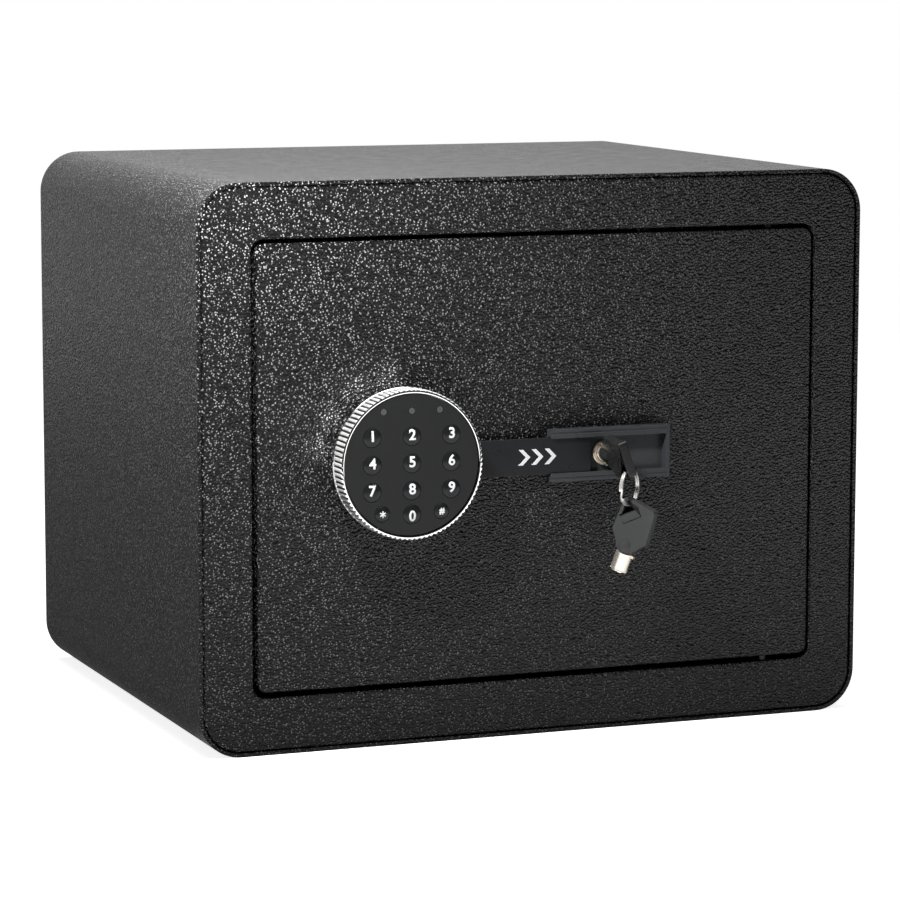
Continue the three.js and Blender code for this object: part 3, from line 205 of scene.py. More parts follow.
# Printed paint
PAINT_LIFT = 0.00014
PAINT_SINK = 0.0002
SIGN_BOLD = 0.00014
SIGN_CURVE_STEPS = 6
SIGN_PARTS = 10
DIVIDE_ROUNDS = 5
STAR_ARMS = 6
STAR_HALF_WIDTH = 0.085

# Key cover
COVER_EDGE = 0.0004
COVER_BEND_SHARE = 0.3
COVER_CORNER = 0.001
CORNER_STEPS = 6
LEAST_BEND_SHARE = 0.25
CHEVRONS = 3
CHEVRON_START = 0.033
CHEVRON_STEP = 0.0075
CHEVRON_RUN = 0.0042
CHEVRON_HALF = 0.0042
CHEVRON_BROAD = 0.0026

# Lock: (radius, distance out). The groove's rows in the profile are painted dark, as painted
# shade.
LOCK_SIDES = 96
LOCK_PROFILE = (
    (0.0051, 0.0004),
    (0.0051, 0.0028),
    (0.00516, 0.003),
    (0.0053, 0.003),
    (0.00536, 0.0028),
    (0.00538, 0.002),
    (0.006, 0.0019),
    (0.00603, 0.0028),
    (0.00618, 0.0031),
    (0.0064, 0.0032),
    (0.00665, 0.0031),
    (0.00684, 0.0028),
    (0.0069, 0.0024),
    (0.0069, 0.0018),
    (0.0066, 0.0014),
    (0.0061, 0.0013),
    (0.0061, 0.0004),
)
LOCK_GROOVE = (4, 5, 6)
BEAD_RADIUS = 0.0006
BEAD_OUT = 0.0031
BEAD_PLACE = (0.0011, -0.0066)
BEAD_STEPS = 8
BEAD_SIDES = 20

# Split ring
LOOP_TURN = 38.4
LOOP_RADIUS = 0.0094
LOOP_SIDE = 0.0005
LOOP_GAP = 14.0
LOOP_SPLIT = 200.0
LOOP_STEPS = 220
WIRE_HALF_OUT = 0.00064
WIRE_HALF_WIDE = 0.00048
WIRE_BEND = 0.0002
WIRE_STEPS = 3

# Screws on the inner cover: (radius, distance out, six-sided)
SCREW_SIDES = 24
SOCKET_FLATS = 6
SCREW_INSET = 0.009
SCREW_PROFILE = (
    (0.0034, -0.0003, False),
    (0.0034, 0.0007, False),
    (0.0031, 0.0012, False),
    (0.0025, 0.0015, False),
    (0.0013, 0.0015, True),
    (0.0013, 0.0004, True),
)

# Camera, in radians and millimetres of lens, fitted to the case's edges
CAMERA_PLACE = (-0.76249, -1.96403, 0.42369)
CAMERA_YAW = -0.37395
CAMERA_PITCH = -0.13632
CAMERA_ROLL = -0.00146
CAMERA_LENS = 149.14
CAMERA_SENSOR = 36
CAMERA_FAR = 50

# Lamps: place, target, size, watts, and whether glossy surfaces mirror it
SPECK_LAMP = ((-0.23, -0.31, 0.42), (-0.1, -0.15, 0.2), (0.05, 0.05), 3.0, False)
TOP_LAMP = ((-0.1, 0.55, 1.2), (0, 0, 0.25), (1.2, 0.5), 10, True)
GLOW_ANGLES = (95, 120, 145, 170)
GLOW_REACH = 0.0425
GLOW_OUT = 0.007
GLOW_SIZE = 0.005
GLOW_WATTS = 0.002

# Room around the object, and the ramps from front to back and from walls to ceiling
ROOM_FRONT = 0.03
ROOM_BACK = 0.6
ROOM_SOFT = 0.13
ROOM_ABOVE = 5.0
ROOM_SEEN = 1.0
BEHIND_RANGE = (-0.1, 0.6)
ABOVE_RANGE = (0.75, 0.95)

# Floor: left, right, front and back, and what glossy surfaces mirror of it
FLOOR = (-2.0, 2.0, -1.0, 1.6)
FLOOR_COLOUR = (0.8, 0.8, 0.8, 1)
FLOOR_GLOW = 0.86
FLOOR_IN_FRONT = 1.9
FLOOR_BEHIND = 0.15
FLOOR_RANGE = (-0.3, -0.1)


# Node materials


def new_material(name):
    material = bpy.data.materials.new(name)
    material.use_nodes = True
    material.node_tree.nodes.clear()
    return material


class Graph:
    """A short way to add nodes and links to a material."""

    def __init__(self, name):
        self.material = new_material(name)
        self.tree = self.material.node_tree
        self.place = self.add("ShaderNodeTexCoord").outputs["Object"]

    def add(self, kind, **values):
        node = self.tree.nodes.new(kind)
        for key, value in values.items():
            if hasattr(node, key) and key not in node.inputs:
                setattr(node, key, value)
            else:
                self.feed(node.inputs[key], value)
        return node

    def feed(self, socket, value):
        if isinstance(value, bpy.types.NodeSocket):
            self.tree.links.new(value, socket)
        else:
            socket.default_value = value

    def calculate(self, kind, operation, values):
        node = self.add(kind, operation=operation)
        for socket, value in zip(node.inputs, values):
            self.feed(socket, value)
        return node.outputs

    def math(self, operation, *values):
        return self.calculate("ShaderNodeMath", operation, values)[0]

    def vector_math(self, operation, *values):
        return self.calculate("ShaderNodeVectorMath", operation, values)

    def stretched(self, factors):
        node = self.add("ShaderNodeMapping")
        self.feed(node.inputs["Vector"], self.place)
        node.inputs["Scale"].default_value = factors
        return node.outputs["Vector"]

    def noise(self, per_metre, detail, roughness=0.5, vector=None, output="Fac"):
        node = self.add("ShaderNodeTexNoise", Scale=per_metre, Detail=detail, Roughness=roughness)
        self.feed(node.inputs["Vector"], vector or self.place)
        return node.outputs[output]

    def cells(self, per_metre, vector):
        node = self.add("ShaderNodeTexVoronoi", feature="F1", Scale=per_metre)
        self.feed(node.inputs["Vector"], vector)
        return node.outputs["Distance"]

    def ramp(self, value, from_range, to_range):
        node = self.add("ShaderNodeMapRange")
        self.feed(node.inputs["Value"], value)
        keys = ("From Min", "From Max", "To Min", "To Max")
        for key, number in zip(keys, (*from_range, *to_range)):
            self.feed(node.inputs[key], number)
        return node.outputs["Result"]

    def blend(self, share, first, second):
        node = self.add("ShaderNodeMixRGB")
        self.feed(node.inputs["Fac"], share)
        self.feed(node.inputs["Color1"], first)
        self.feed(node.inputs["Color2"], second)
        return node.outputs["Color"]

    def bump(self, height, depth, strength=1.0):
        node = self.add("ShaderNodeBump", Strength=strength, Distance=depth)
        self.feed(node.inputs["Height"], height)
        return node.outputs["Normal"]

    def finish(self, **values):
        shader = self.add("ShaderNodeBsdfPrincipled")
        for key, value in values.items():
            self.feed(shader.inputs[key.replace("_", " ")], value)
        output = self.add("ShaderNodeOutputMaterial")
        self.tree.links.new(shader.outputs[0], output.inputs[0])
        return self.material


def grey(level, warmth=0.0):
    return (level * (1 + warmth), level, level * (1 - warmth), 1)


def dimmed(colour, share=1.0):
    return (*(c * share for c in colour), 1)


def powder_coat():
    """Glossy black powder coat with round pebbles a millimetre or two wide.

    Pale specks painted on the crests of its pebbles are painted glints of a small lamp. They are
    densest at the upper left, nearest that lamp, and thin out away from it as painted highlight.
    """
    graph = Graph("powder_coat")
    wobble = graph.noise(WOBBLE_RATE, detail=1, output="Color")
    reach = (WOBBLE_REACH, WOBBLE_REACH, WOBBLE_REACH)
    shifted = graph.vector_math("MULTIPLY_ADD", wobble, reach, graph.place)["Vector"]
    grain = graph.cells(PEBBLES, shifted)
    pebble = graph.math("MULTIPLY", graph.math("POWER", grain, PEBBLE_POWER), -1.0)
    swell = graph.noise(SWELL_RATE, detail=1)
    height = graph.math("MULTIPLY_ADD", swell, SWELL_SHARE, pebble)
    broad = graph.noise(per_metre=90.0, detail=2)
    base = graph.blend(graph.ramp(broad, NOISE_RANGE, (0, 1)), *map(grey, PAINT_LEVELS))
    # Painted glints: pale specks on the pebbles' crests, in random patches, thinning out away
    # from the upper left
    glint_crest = graph.ramp(grain, (GLINT_OUTER, GLINT_INNER), (0, 1))
    patch = graph.ramp(graph.noise(PATCH_RATE, detail=1), PATCH_RANGE, (0, 1))
    upright = graph.stretched((1, 0, 1))
    away = graph.vector_math("DISTANCE", upright, GLINT_MIDDLE)["Value"]
    fade = graph.ramp(away, (GLINT_NEAR, GLINT_REACH), (1, GLINT_LEAST))
    share = graph.math("MULTIPLY", graph.math("MULTIPLY", glint_crest, patch), fade)
    return graph.finish(
        Base_Color=graph.blend(share, base, grey(PAINTED_GLINT_LEVEL)),
        Roughness=graph.ramp(broad, NOISE_RANGE, PAINT_ROUGHNESS),
        Specular_IOR_Level=PAINT_GLOSS,
        Normal=graph.bump(height, PAINT_DEPTH),
    )


def around(value, less, more):
    """A range from less to more times a value."""
    return (value * less, value * more)


def plastic(name, level, roughness, warmth=-0.02):
    """Moulded plastic with a fine spark-eroded grain and slight unevenness in its gloss."""
    graph = Graph(name)
    fine = graph.noise(per_metre=3800.0, detail=2, roughness=0.6)
    broad = graph.noise(per_metre=140.0, detail=3)
    darker, lighter = (grey(end, warmth) for end in around(level, 0.92, 1.08))
    return graph.finish(
        Base_Color=graph.blend(broad, darker, lighter),
        Roughness=graph.ramp(broad, NOISE_RANGE, (roughness - 0.04, roughness + 0.05)),
        Specular_IOR_Level=PLASTIC_GLOSS,
        Normal=graph.bump(fine, PLASTIC_GRAIN, strength=0.6),
    )


def metal(name, colour, roughness):
    """Bare or plated metal with faint rubbed marks."""
    graph = Graph(name)
    marks = graph.noise(per_metre=900.0, detail=3)
    broad = graph.noise(per_metre=160.0, detail=2)
    return graph.finish(
        Base_Color=graph.blend(broad, dimmed(colour, share=0.94), dimmed(colour)),
        Metallic=1.0,
        Roughness=graph.ramp(broad, NOISE_RANGE, around(roughness, 0.8, 1.3)),
        Normal=graph.bump(marks, SCRATCH_DEPTH, strength=0.5),
    )


def satin(name, colour, roughness, metallic):
    """Plating with a fine frosted surface, which takes light from every side."""
    graph = Graph(name)
    frost = graph.noise(per_metre=400.0, detail=2)
    return graph.finish(
        Base_Color=graph.blend(frost, dimmed(colour, share=0.92), dimmed(colour)),
        Metallic=metallic,
        Roughness=graph.ramp(frost, NOISE_RANGE, around(roughness, 0.9, 1.15)),
        Normal=graph.bump(frost, FROST_DEPTH, strength=0.4),
    )


def felt_material():
    graph = Graph("felt")
    fibres = graph.noise(per_metre=1800.0, detail=5, roughness=0.7)
    clumps = graph.noise(per_metre=240.0, detail=3)
    return graph.finish(
        Base_Color=graph.blend(clumps, grey(0.035), grey(0.06)),
        Roughness=1.0,
        Sheen_Weight=0.35,
        Sheen_Roughness=0.5,
        Normal=graph.bump(fibres, depth=0.0004, strength=0.8),
    )


def board_material():
    graph = Graph("board_laminate")
    weave = graph.noise(per_metre=2200.0, detail=1, vector=graph.stretched((1, 1, 4)))
    return graph.finish(
        Base_Color=graph.blend(weave, *BOARD_GREENS),
        Roughness=0.35,
        Normal=graph.bump(weave, depth=0.00002),
    )


def cell_material():
    graph = Graph("cell_wrap")
    broad = graph.noise(per_metre=90.0, detail=2)
    return graph.finish(
        Base_Color=graph.blend(broad, *CELL_BLUES),
        Roughness=0.3,
        Metallic=0.25,
        Normal=graph.bump(broad, depth=0.0001),
    )


PAINT = powder_coat()
FACE_PLASTIC = plastic("face_plastic", level=0.012, roughness=0.42)
KEY_PLASTIC = plastic("key_plastic", level=0.009, roughness=0.28, warmth=-0.05)
RAIL_PLASTIC = plastic("rail_plastic", level=0.04, roughness=0.3, warmth=-0.08)
BOW_PLASTIC = plastic("bow_plastic", level=0.045, roughness=0.36)
# Painted shade: the bow of the key in the lock, a darker, glossier copy of the spare key's bow
# plastic
SHADED_BOW_PLASTIC = plastic("shaded_bow_plastic", level=0.018, roughness=0.24)
LAMP_PLASTIC = plastic("lamp_plastic", level=0.06, roughness=0.3)
RED_PLASTIC = plastic("red_plastic", level=0.3, roughness=0.35)
COVER_PLASTIC = plastic("cover_plastic", level=0.009, roughness=0.3, warmth=-0.08)
SIGN_PAINT = plastic("sign_paint", level=0.7, roughness=0.5)
CHROME = metal("chrome_plate", (0.9, 0.9, 0.9), roughness=0.09)
BLACK_STEEL = metal("black_steel", (0.03, 0.03, 0.03), roughness=0.4)
STEEL = metal("bright_steel", (0.6, 0.6, 0.6), roughness=0.3)
ZINC = metal("zinc_plate", (0.66, 0.65, 0.6), roughness=0.36)
NICKEL = satin("nickel_plate", (0.82, 0.75, 0.65), roughness=0.2, metallic=0.8)
LOCK_METAL = satin("lock_metal", (0.82, 0.72, 0.57), roughness=0.18, metallic=0.7)
TOOTH_METAL = satin("tooth_metal", (0.85, 0.85, 0.84), roughness=0.35, metallic=0.5)
# Painted shade: near-black metal for the knurl's gaps and the lock's groove, where shade falls
RECESS_SHADE_METAL = satin("painted_shade_metal", (0.01, 0.01, 0.01), roughness=0.5, metallic=0.3)
RING_CHROME = satin("ring_chrome", (0.85, 0.83, 0.79), roughness=0.16, metallic=0.6)
FELT = felt_material()
BOARD = board_material()
CELL = cell_material()
SLOT_MATERIALS = {
    "black_paint": PAINT,
    "dark_plastic": RAIL_PLASTIC,
    "key_plastic": KEY_PLASTIC,
    "bow_plastic": BOW_PLASTIC,
    "lamp_plastic": LAMP_PLASTIC,
    "red_plastic": RED_PLASTIC,
    "chrome": CHROME,
    "steel": STEEL,
    "zinc": ZINC,
    "nickel": NICKEL,
    "brass": LOCK_METAL,
    "board": BOARD,
    "felt": FELT,
    "cell_skin": CELL,
}
# The nodes that look different from the rest of their slot
NODE_MATERIALS = {
    "hinge_pin_upper": BLACK_STEEL,
    "hinge_pin_lower": BLACK_STEEL,
    # The key in the lock: its bow painted darker, as shade
    "key_bow": SHADED_BOW_PLASTIC,
    "keypad_face": FACE_PLASTIC,
}


def coat(piece, material):
    piece.data.materials.clear()
    piece.data.materials.append(material)


# Shapes


def smoothed(piece, angle):
    """Smooth shading that stays flat on flat faces and sharp over an angle."""
    piece.data.shade_smooth()
    piece.data.set_sharp_from_angle(angle=math.radians(angle))
    weighted = piece.modifiers.new("weighted_normals", "WEIGHTED_NORMAL")
    weighted.keep_sharp = True


def new_object(name, data):
    thing = bpy.data.objects.new(name, data)
    bpy.context.scene.collection.objects.link(thing)
    return thing


def new_piece(name, shape, material, body, angle):
    mesh = bpy.data.meshes.new(name)
    bmesh.ops.recalc_face_normals(shape, faces=shape.faces)
    shape.to_mesh(mesh)
    shape.free()
    piece = new_object(name, mesh)
    coat(piece, material)
    smoothed(piece, angle)
    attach(piece, body)
    return piece


def finer(node, edge, angle):
    """The node's shape with rounded edges and smooth shading, in the node's place."""
    shape = bmesh.new()
    shape.from_mesh(nodes[node].data)
    bmesh.ops.remove_doubles(shape, verts=shape.verts, dist=MERGE)
    bmesh.ops.dissolve_limit(
        shape, angle_limit=math.radians(FLAT_ANGLE), verts=shape.verts, edges=shape.edges
    )
    if edge:
        sharp = [
            line
            for line in shape.edges
            if len(line.link_faces) == 2
            and line.calc_face_angle() > math.radians(SHARP_ANGLE)
            and line.calc_length() > SHORTEST_EDGE * edge
        ]
        bmesh.ops.bevel(
            shape,
            geom=sharp,
            offset=edge,
            offset_type="OFFSET",
            segments=EDGE_STEPS,
            profile=0.5,
            affect="EDGES",
            clamp_overlap=False,
        )
    slot = SLOTS[node]
    material = NODE_MATERIALS.get(node, SLOT_MATERIALS[slot])
    piece = new_piece(f"fine_{node}", shape, material, BODY_OF[node], angle)
    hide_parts(node)


def revolved(profile, origin, sides, closed=True):
    """A profile of (radius, distance out) corners turned about a line from back to front."""
    side = OUTWARD.orthogonal().normalized()
    other = OUTWARD.cross(side)
    origin = Vector(origin)
    shape = bmesh.new()
    rows = []
    for radius, distance in profile:
        centre = origin + OUTWARD * distance
        if radius < TINY:
            rows.append([shape.verts.new(centre)])
            continue
        rows.append(
            [
                shape.verts.new(
                    centre
                    + side * radius * math.cos(TURN * i / sides)
                    + other * radius * math.sin(TURN * i / sides)
                )
                for i in range(sides)
            ]
        )
    pairs = list(zip(rows, rows[1:]))
    if closed:
        pairs.append((rows[-1], rows[0]))
    for first, second in pairs:
        join_rows(shape, first, second)
    return shape


def join_rows(shape, first, second):
    """Faces between two rings of points, either of which may be one point."""
    count = max(len(first), len(second))
    for i in range(count):
        j = (i + 1) % count
        corners = []
        for corner in (
            first[i % len(first)],
            first[j % len(first)],
            second[j % len(second)],
            second[i % len(second)],
        ):
            if corner not in corners:
                corners.append(corner)
        if len(corners) > 2:
            shape.faces.new(corners)


def join_all(shape, rows):
    """Faces between each ring of points and the next."""
    for first, second in zip(rows, rows[1:]):
        join_rows(shape, first, second)


# Knob ring


def tooth_height(share):
    """The height of the knurl across one tooth, from 0 at its root to 1 at its tip."""
    distance = abs(share - 0.5) * 2
    flank = (distance - KNURL_TIP) / (1 - KNURL_TIP - KNURL_ROOT)
    flank = min(max(flank, 0), 1)
    return 0.5 + 0.5 * math.cos(math.pi * flank)


def knob_ring():
    """The chrome ring with straight teeth. Its gaps are painted dark as shade, and its tips
    frosted.
    """
    columns = KNURLS * KNURL_STEPS
    shape = bmesh.new()
    centre = Vector((KNOB.x, FRONT, KNOB.z))
    heights = [tooth_height((i % KNURL_STEPS + 0.5) / KNURL_STEPS) for i in range(columns)]
    angles = [TURN * (i + 0.5) / columns for i in range(columns)]

    def ring_points(distance, radii):
        return [
            shape.verts.new(centre + Vector((r * math.cos(a), -distance, r * math.sin(a))))
            for r, a in zip(radii, angles)
        ]

    rows = [ring_points(distance, [radius] * columns) for radius, distance in RING_BACK]
    for share, distance in RING_TEETH:
        depth = (TIP_RADIUS - ROOT_RADIUS) * share
        rows.append(ring_points(distance, [ROOT_RADIUS + depth * h for h in heights]))
    rows += [ring_points(distance, [radius] * columns) for radius, distance in RING_FRONT]
    join_all(shape, rows + rows[:1])
    piece = new_piece("knob_ring", shape, CHROME, "knob", angle=30)
    piece.data.materials.append(TOOTH_METAL)
    # Painted shade: the knurl's gaps get the near-black metal
    piece.data.materials.append(RECESS_SHADE_METAL)
    toothed = range(len(RING_BACK), len(RING_BACK) + len(RING_TEETH) - 1)
    for face in piece.data.polygons:
        row, column = divmod(face.index, columns)
        if row in toothed:
            share = (column % KNURL_STEPS + 1) / KNURL_STEPS
            on_tooth = KNURL_GAP_SHARE < share <= 1 - KNURL_GAP_SHARE
            face.material_index = 1 if on_tooth else 2
    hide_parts("knurled_ring")


# Keypad


def dome_height(share):
    return KEY_RISE * (1 - share**KEY_CROWN)


def key_dome(name, centre, radius):
    profile = [
        (radius * i / DOME_STEPS, FACE_OUT + dome_height(i / DOME_STEPS))
        for i in range(DOME_STEPS)
    ]
    profile += [
        (radius * DOME_RIM, FACE_OUT + dome_height(DOME_RIM_HEIGHT_AT)),
        (radius, FACE_OUT),
        (radius, FACE_OUT - KEY_SKIRT),
        (0, FACE_OUT - KEY_SKIRT),
    ]
    shape = revolved(profile, (centre.x, FRONT, centre.z), DOME_SIDES, closed=False)
    piece = new_piece(f"dome_{name}", shape, KEY_PLASTIC, BODY_OF[name], angle=60)
    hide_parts(name)


def text_mesh(name, text, height):
    curve = bpy.data.curves.new(name, "FONT")
    curve.body = text
    curve.align_x = "CENTER"
    curve.align_y = "CENTER"
    curve.size = height
    curve.offset = SIGN_BOLD
    curve.resolution_u = SIGN_CURVE_STEPS
    curve.extrude = PAINT_SINK
    source = new_object(name, curve)
    bpy.context.view_layer.update()
    state = bpy.context.evaluated_depsgraph_get()
    mesh = bpy.data.meshes.new_from_object(source.evaluated_get(state))
    bpy.data.objects.remove(source)
    return mesh


def star_mesh(name, height):
    """A flat star of straight arms, which are all of one width."""
    half_width = height * STAR_HALF_WIDTH
    half_step = TURN / STAR_ARMS / 2
    outline = []
    for arm in range(STAR_ARMS):
        angle = TURN * arm / STAR_ARMS + TURN / 4
        along = Vector((math.cos(angle), math.sin(angle)))
        across = Vector((-along.y, along.x))
        inner = half_width / math.sin(half_step)
        notch = Vector((math.cos(angle - half_step), math.sin(angle - half_step))) * inner
        tip = along * height / 2
        outline += [notch, tip - across * half_width, tip + across * half_width]
    shape = bmesh.new()
    top = [shape.verts.new((p.x, p.y, PAINT_SINK)) for p in outline]
    bottom = [shape.verts.new((p.x, p.y, -PAINT_SINK)) for p in outline]
    join_rows(shape, bottom, top)
    shape.faces.new(top)
    shape.faces.new(bottom[::-1])
    bmesh.ops.recalc_face_normals(shape, faces=shape.faces)
    mesh = bpy.data.meshes.new(name)
    shape.to_mesh(mesh)
    shape.free()
    return mesh


def divide(mesh, longest):
    """Splits a flat mesh until no edge is longer than a length."""
    shape = bmesh.new()
    shape.from_mesh(mesh)
    bmesh.ops.remove_doubles(shape, verts=shape.verts, dist=MERGE)
    bmesh.ops.triangulate(shape, faces=shape.faces)
    for _ in range(DIVIDE_ROUNDS):
        lines = [line for line in shape.edges if line.calc_length() > longest]
        if not lines:
            break
        bmesh.ops.subdivide_edges(shape, edges=lines, cuts=1)
        bmesh.ops.triangulate(shape, faces=shape.faces)
    shape.to_mesh(mesh)
    shape.free()


def printed(name, text, body, height, centre, surface):
    """Raised paint in the shape of a sign. The function surface says how far out it lies."""
    mesh = star_mesh(name, height) if text == "*" else text_mesh(name, text, height)
    divide(mesh, height / SIGN_PARTS)
    xs = [v.co.x for v in mesh.vertices]
    ys = [v.co.y for v in mesh.vertices]
    scale = height / (max(ys) - min(ys))
    middle_x, middle_y = (max(xs) + min(xs)) / 2, (max(ys) + min(ys)) / 2
    for vertex in mesh.vertices:
        x = (vertex.co.x - middle_x) * scale
        z = (vertex.co.y - middle_y) * scale
        lift = PAINT_LIFT if vertex.co.z > 0 else -PAINT_SINK
        out = surface(x, z) + lift
        vertex.co = (centre[0] + x, FRONT - out, centre[1] + z)
    piece = new_object(name, mesh)
    coat(piece, SIGN_PAINT)
    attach(piece, body)


def key_signs():
    for name, text, height, rise, radius in KEY_SIGNS:
        centre = middle(name)

        def surface(x, z):
            share = min(math.hypot(x, z + rise) / radius, 1)
            return FACE_OUT + dome_height(share)

        key_dome(name, centre, radius)
        place = (centre.x, centre.z + rise)
        printed(f"sign_{name}", text, BODY_OF[name], height, place, surface)


# Key cover


def rounded_outline(low, high, inset, radius):
    corners = [
        (high.x - inset, high.z - inset, -1, -1),
        (low.x + inset, high.z - inset, 1, -1),
        (low.x + inset, low.z + inset, 1, 1),
        (high.x - inset, low.z + inset, -1, 1),
    ]
    bend = max(radius - inset, radius * LEAST_BEND_SHARE)
    outline = []
    for quarter, (x, z, to_x, to_z) in enumerate(corners):
        for i in range(CORNER_STEPS + 1):
            angle = TURN / 4 * (quarter + i / CORNER_STEPS)
            across = x + to_x * bend + bend * math.cos(angle)
            upward = z + to_z * bend + bend * math.sin(angle)
            outline.append((across, upward))
    return outline


def cover_plate():
    low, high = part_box("key_cover")
    shape = bmesh.new()
    rows = []
    bend = COVER_EDGE * COVER_BEND_SHARE
    layers = [
        (0, high.y - COVER_EDGE / 2),
        (0, low.y + COVER_EDGE),
        (bend, low.y + bend),
        (COVER_EDGE, low.y),
    ]
    for inset, y in layers:
        outline = rounded_outline(low, high, inset, COVER_CORNER)
        rows.append([shape.verts.new((x, y, z)) for x, z in outline])
    join_all(shape, rows)
    shape.faces.new(rows[-1])
    shape.faces.new(rows[0][::-1])
    piece = new_piece("cover_plate", shape, COVER_PLASTIC, "cover", angle=50)
    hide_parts("key_cover")


def chevrons():
    """Three direction marks in the way that the cover slides."""
    low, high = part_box("key_cover")
    front = low.y
    middle_z = (low.z + high.z) / 2
    for i in range(CHEVRONS):
        tip = low.x + CHEVRON_START + i * CHEVRON_STEP
        outline = [
            (tip, 0),
            (tip - CHEVRON_RUN, CHEVRON_HALF),
            (tip - CHEVRON_RUN - CHEVRON_BROAD, CHEVRON_HALF),
            (tip - CHEVRON_BROAD, 0),
            (tip - CHEVRON_RUN - CHEVRON_BROAD, -CHEVRON_HALF),
            (tip - CHEVRON_RUN, -CHEVRON_HALF),
        ]
        shape = bmesh.new()
        front_row = [shape.verts.new((x, front - PAINT_LIFT, middle_z + z)) for x, z in outline]
        back_row = [shape.verts.new((x, front + PAINT_SINK, middle_z + z)) for x, z in outline]
        join_rows(shape, front_row, back_row)
        shape.faces.new(front_row)
        shape.faces.new(back_row[::-1])
        piece = new_piece(f"mark_{i + 1}", shape, SIGN_PAINT, "cover", angle=20)


# Lock and split ring


def lock_head():
    """A domed bright rim round a sunk ring, and a thin lip round the keyway."""
    shape = revolved(LOCK_PROFILE, (LOCK.x, FRONT, LOCK.z), LOCK_SIDES)
    piece = new_piece("lock_head", shape, LOCK_METAL, "door", angle=40)
    # Painted shade: the groove's rows get the near-black metal
    piece.data.materials.append(RECESS_SHADE_METAL)
    for face in piece.data.polygons:
        if face.index // LOCK_SIDES in LOCK_GROOVE:
            face.material_index = 1


def lock_bead():
    """The small bright bead on the lock's rim, at its lower right."""
    profile = []
    for i in range(BEAD_STEPS + 1):
        angle = math.pi * i / BEAD_STEPS
        profile.append((BEAD_RADIUS * math.sin(angle), -BEAD_RADIUS * math.cos(angle)))
    place = (LOCK.x + BEAD_PLACE[0], FRONT - BEAD_OUT, LOCK.z + BEAD_PLACE[1])
    shape = revolved(profile, place, BEAD_SIDES, closed=False)
    piece = new_piece("lock_bead", shape, TOOTH_METAL, "door", angle=60)


def wire_section():
    """A flat wire's outline across it: out from the ring's centre, and along its axis."""
    corners = [(1, 1), (-1, 1), (-1, -1), (1, -1)]
    points = []
    for i, (a, b) in enumerate(corners):
        for step in range(WIRE_STEPS + 1):
            angle = TURN / 4 * (i + step / WIRE_STEPS)
            points.append(
                (
                    a * (WIRE_HALF_OUT - WIRE_BEND) + WIRE_BEND * math.cos(angle),
                    b * (WIRE_HALF_WIDE - WIRE_BEND) + WIRE_BEND * math.sin(angle),
                )
            )
    return points


def split_coil():
    """Two turns of flat wire side by side, which cross over where their ends meet."""
    centre = middle("split_ring")
    turned = math.radians(LOOP_TURN)
    along = Vector((math.cos(turned), math.sin(turned), 0))
    axis = Vector((-math.sin(turned), math.cos(turned), 0))
    up = Vector((0, 0, 1))
    start, end = math.radians(LOOP_GAP), 2 * TURN - math.radians(LOOP_GAP)
    section = wire_section()
    shape = bmesh.new()
    rows = []
    for i in range(LOOP_STEPS + 1):
        angle = start + (end - start) * i / LOOP_STEPS
        crossing = (angle - TURN) / math.radians(LOOP_GAP)
        crossing = min(max(crossing, -1), 1)
        shift = LOOP_SIDE * math.sin(math.pi / 2 * crossing)
        place = angle + math.radians(LOOP_SPLIT)
        outward = along * math.cos(place) + up * math.sin(place)
        line = centre + axis * shift
        rows.append(
            [shape.verts.new(line + outward * (LOOP_RADIUS + a) + axis * b) for a, b in section]
        )
    join_all(shape, rows)
    shape.faces.new(rows[0][::-1])
    shape.faces.new(rows[-1])
    piece = new_piece("split_coil", shape, RING_CHROME, "ring", angle=50)
    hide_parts("split_ring")


# Screws


def socket_screw(name, place, body):
    """A low round screw head with a six-sided socket, which faces the back."""
    flat = TURN / SOCKET_FLATS
    shape = bmesh.new()
    rows = []
    for radius, out, sided in SCREW_PROFILE:
        row = []
        for i in range(SCREW_SIDES):
            angle = TURN * i / SCREW_SIDES
            near_flat = (angle + flat / 2) % flat - flat / 2
            reach = radius / math.cos(near_flat) if sided else radius
            x = place[0] + reach * math.cos(angle)
            z = place[2] + reach * math.sin(angle)
            row.append(shape.verts.new((x, place[1] + out, z)))
        rows.append(row)
    join_all(shape, rows)
    shape.faces.new(rows[0])
    shape.faces.new(rows[-1])
    piece = new_piece(name, shape, ZINC, body, angle=30)


def cover_screws():
    low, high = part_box("inner_cover")
    places = [
        (x, z)
        for x in (low.x + SCREW_INSET, high.x - SCREW_INSET)
        for z in (low.z + SCREW_INSET, high.z - SCREW_INSET)
    ]
    for i, (x, z) in enumerate(places):
        socket_screw(f"cover_screw_{i + 1}", (x, high.y, z), "door")


for node, slot in SLOTS.items():
    coat(nodes[node], SLOT_MATERIALS[slot])
for node, (edge, angle) in FINER.items():
    finer(node, edge, angle)
knob_ring()
key_signs()
cover_plate()
chevrons()
lock_head()
lock_bead()
split_coil()
cover_screws()


# Camera, light and stage


def look(location, forward, roll=0.0):
    forward = Vector(forward).normalized()
    right = forward.cross(Vector((0, 0, 1))).normalized()
    up = right.cross(forward)
    turned = Matrix.Rotation(roll, 3, forward)
    right, up = turned @ right, turned @ up
    matrix = Matrix((right, up, -forward)).transposed().to_4x4()
    matrix.translation = Vector(location)
    return matrix


def add_camera():
    data = bpy.data.cameras.new("camera")
    data.sensor_width = CAMERA_SENSOR
    data.lens = CAMERA_LENS
    data.clip_end = CAMERA_FAR
    camera = new_object("camera", data)
    level = math.cos(CAMERA_PITCH)
    forward = (
        -math.sin(CAMERA_YAW) * level,
        math.cos(CAMERA_YAW) * level,
        math.sin(CAMERA_PITCH),
    )
    camera.matrix_world = look(CAMERA_PLACE, forward, CAMERA_ROLL)
    bpy.context.scene.camera = camera


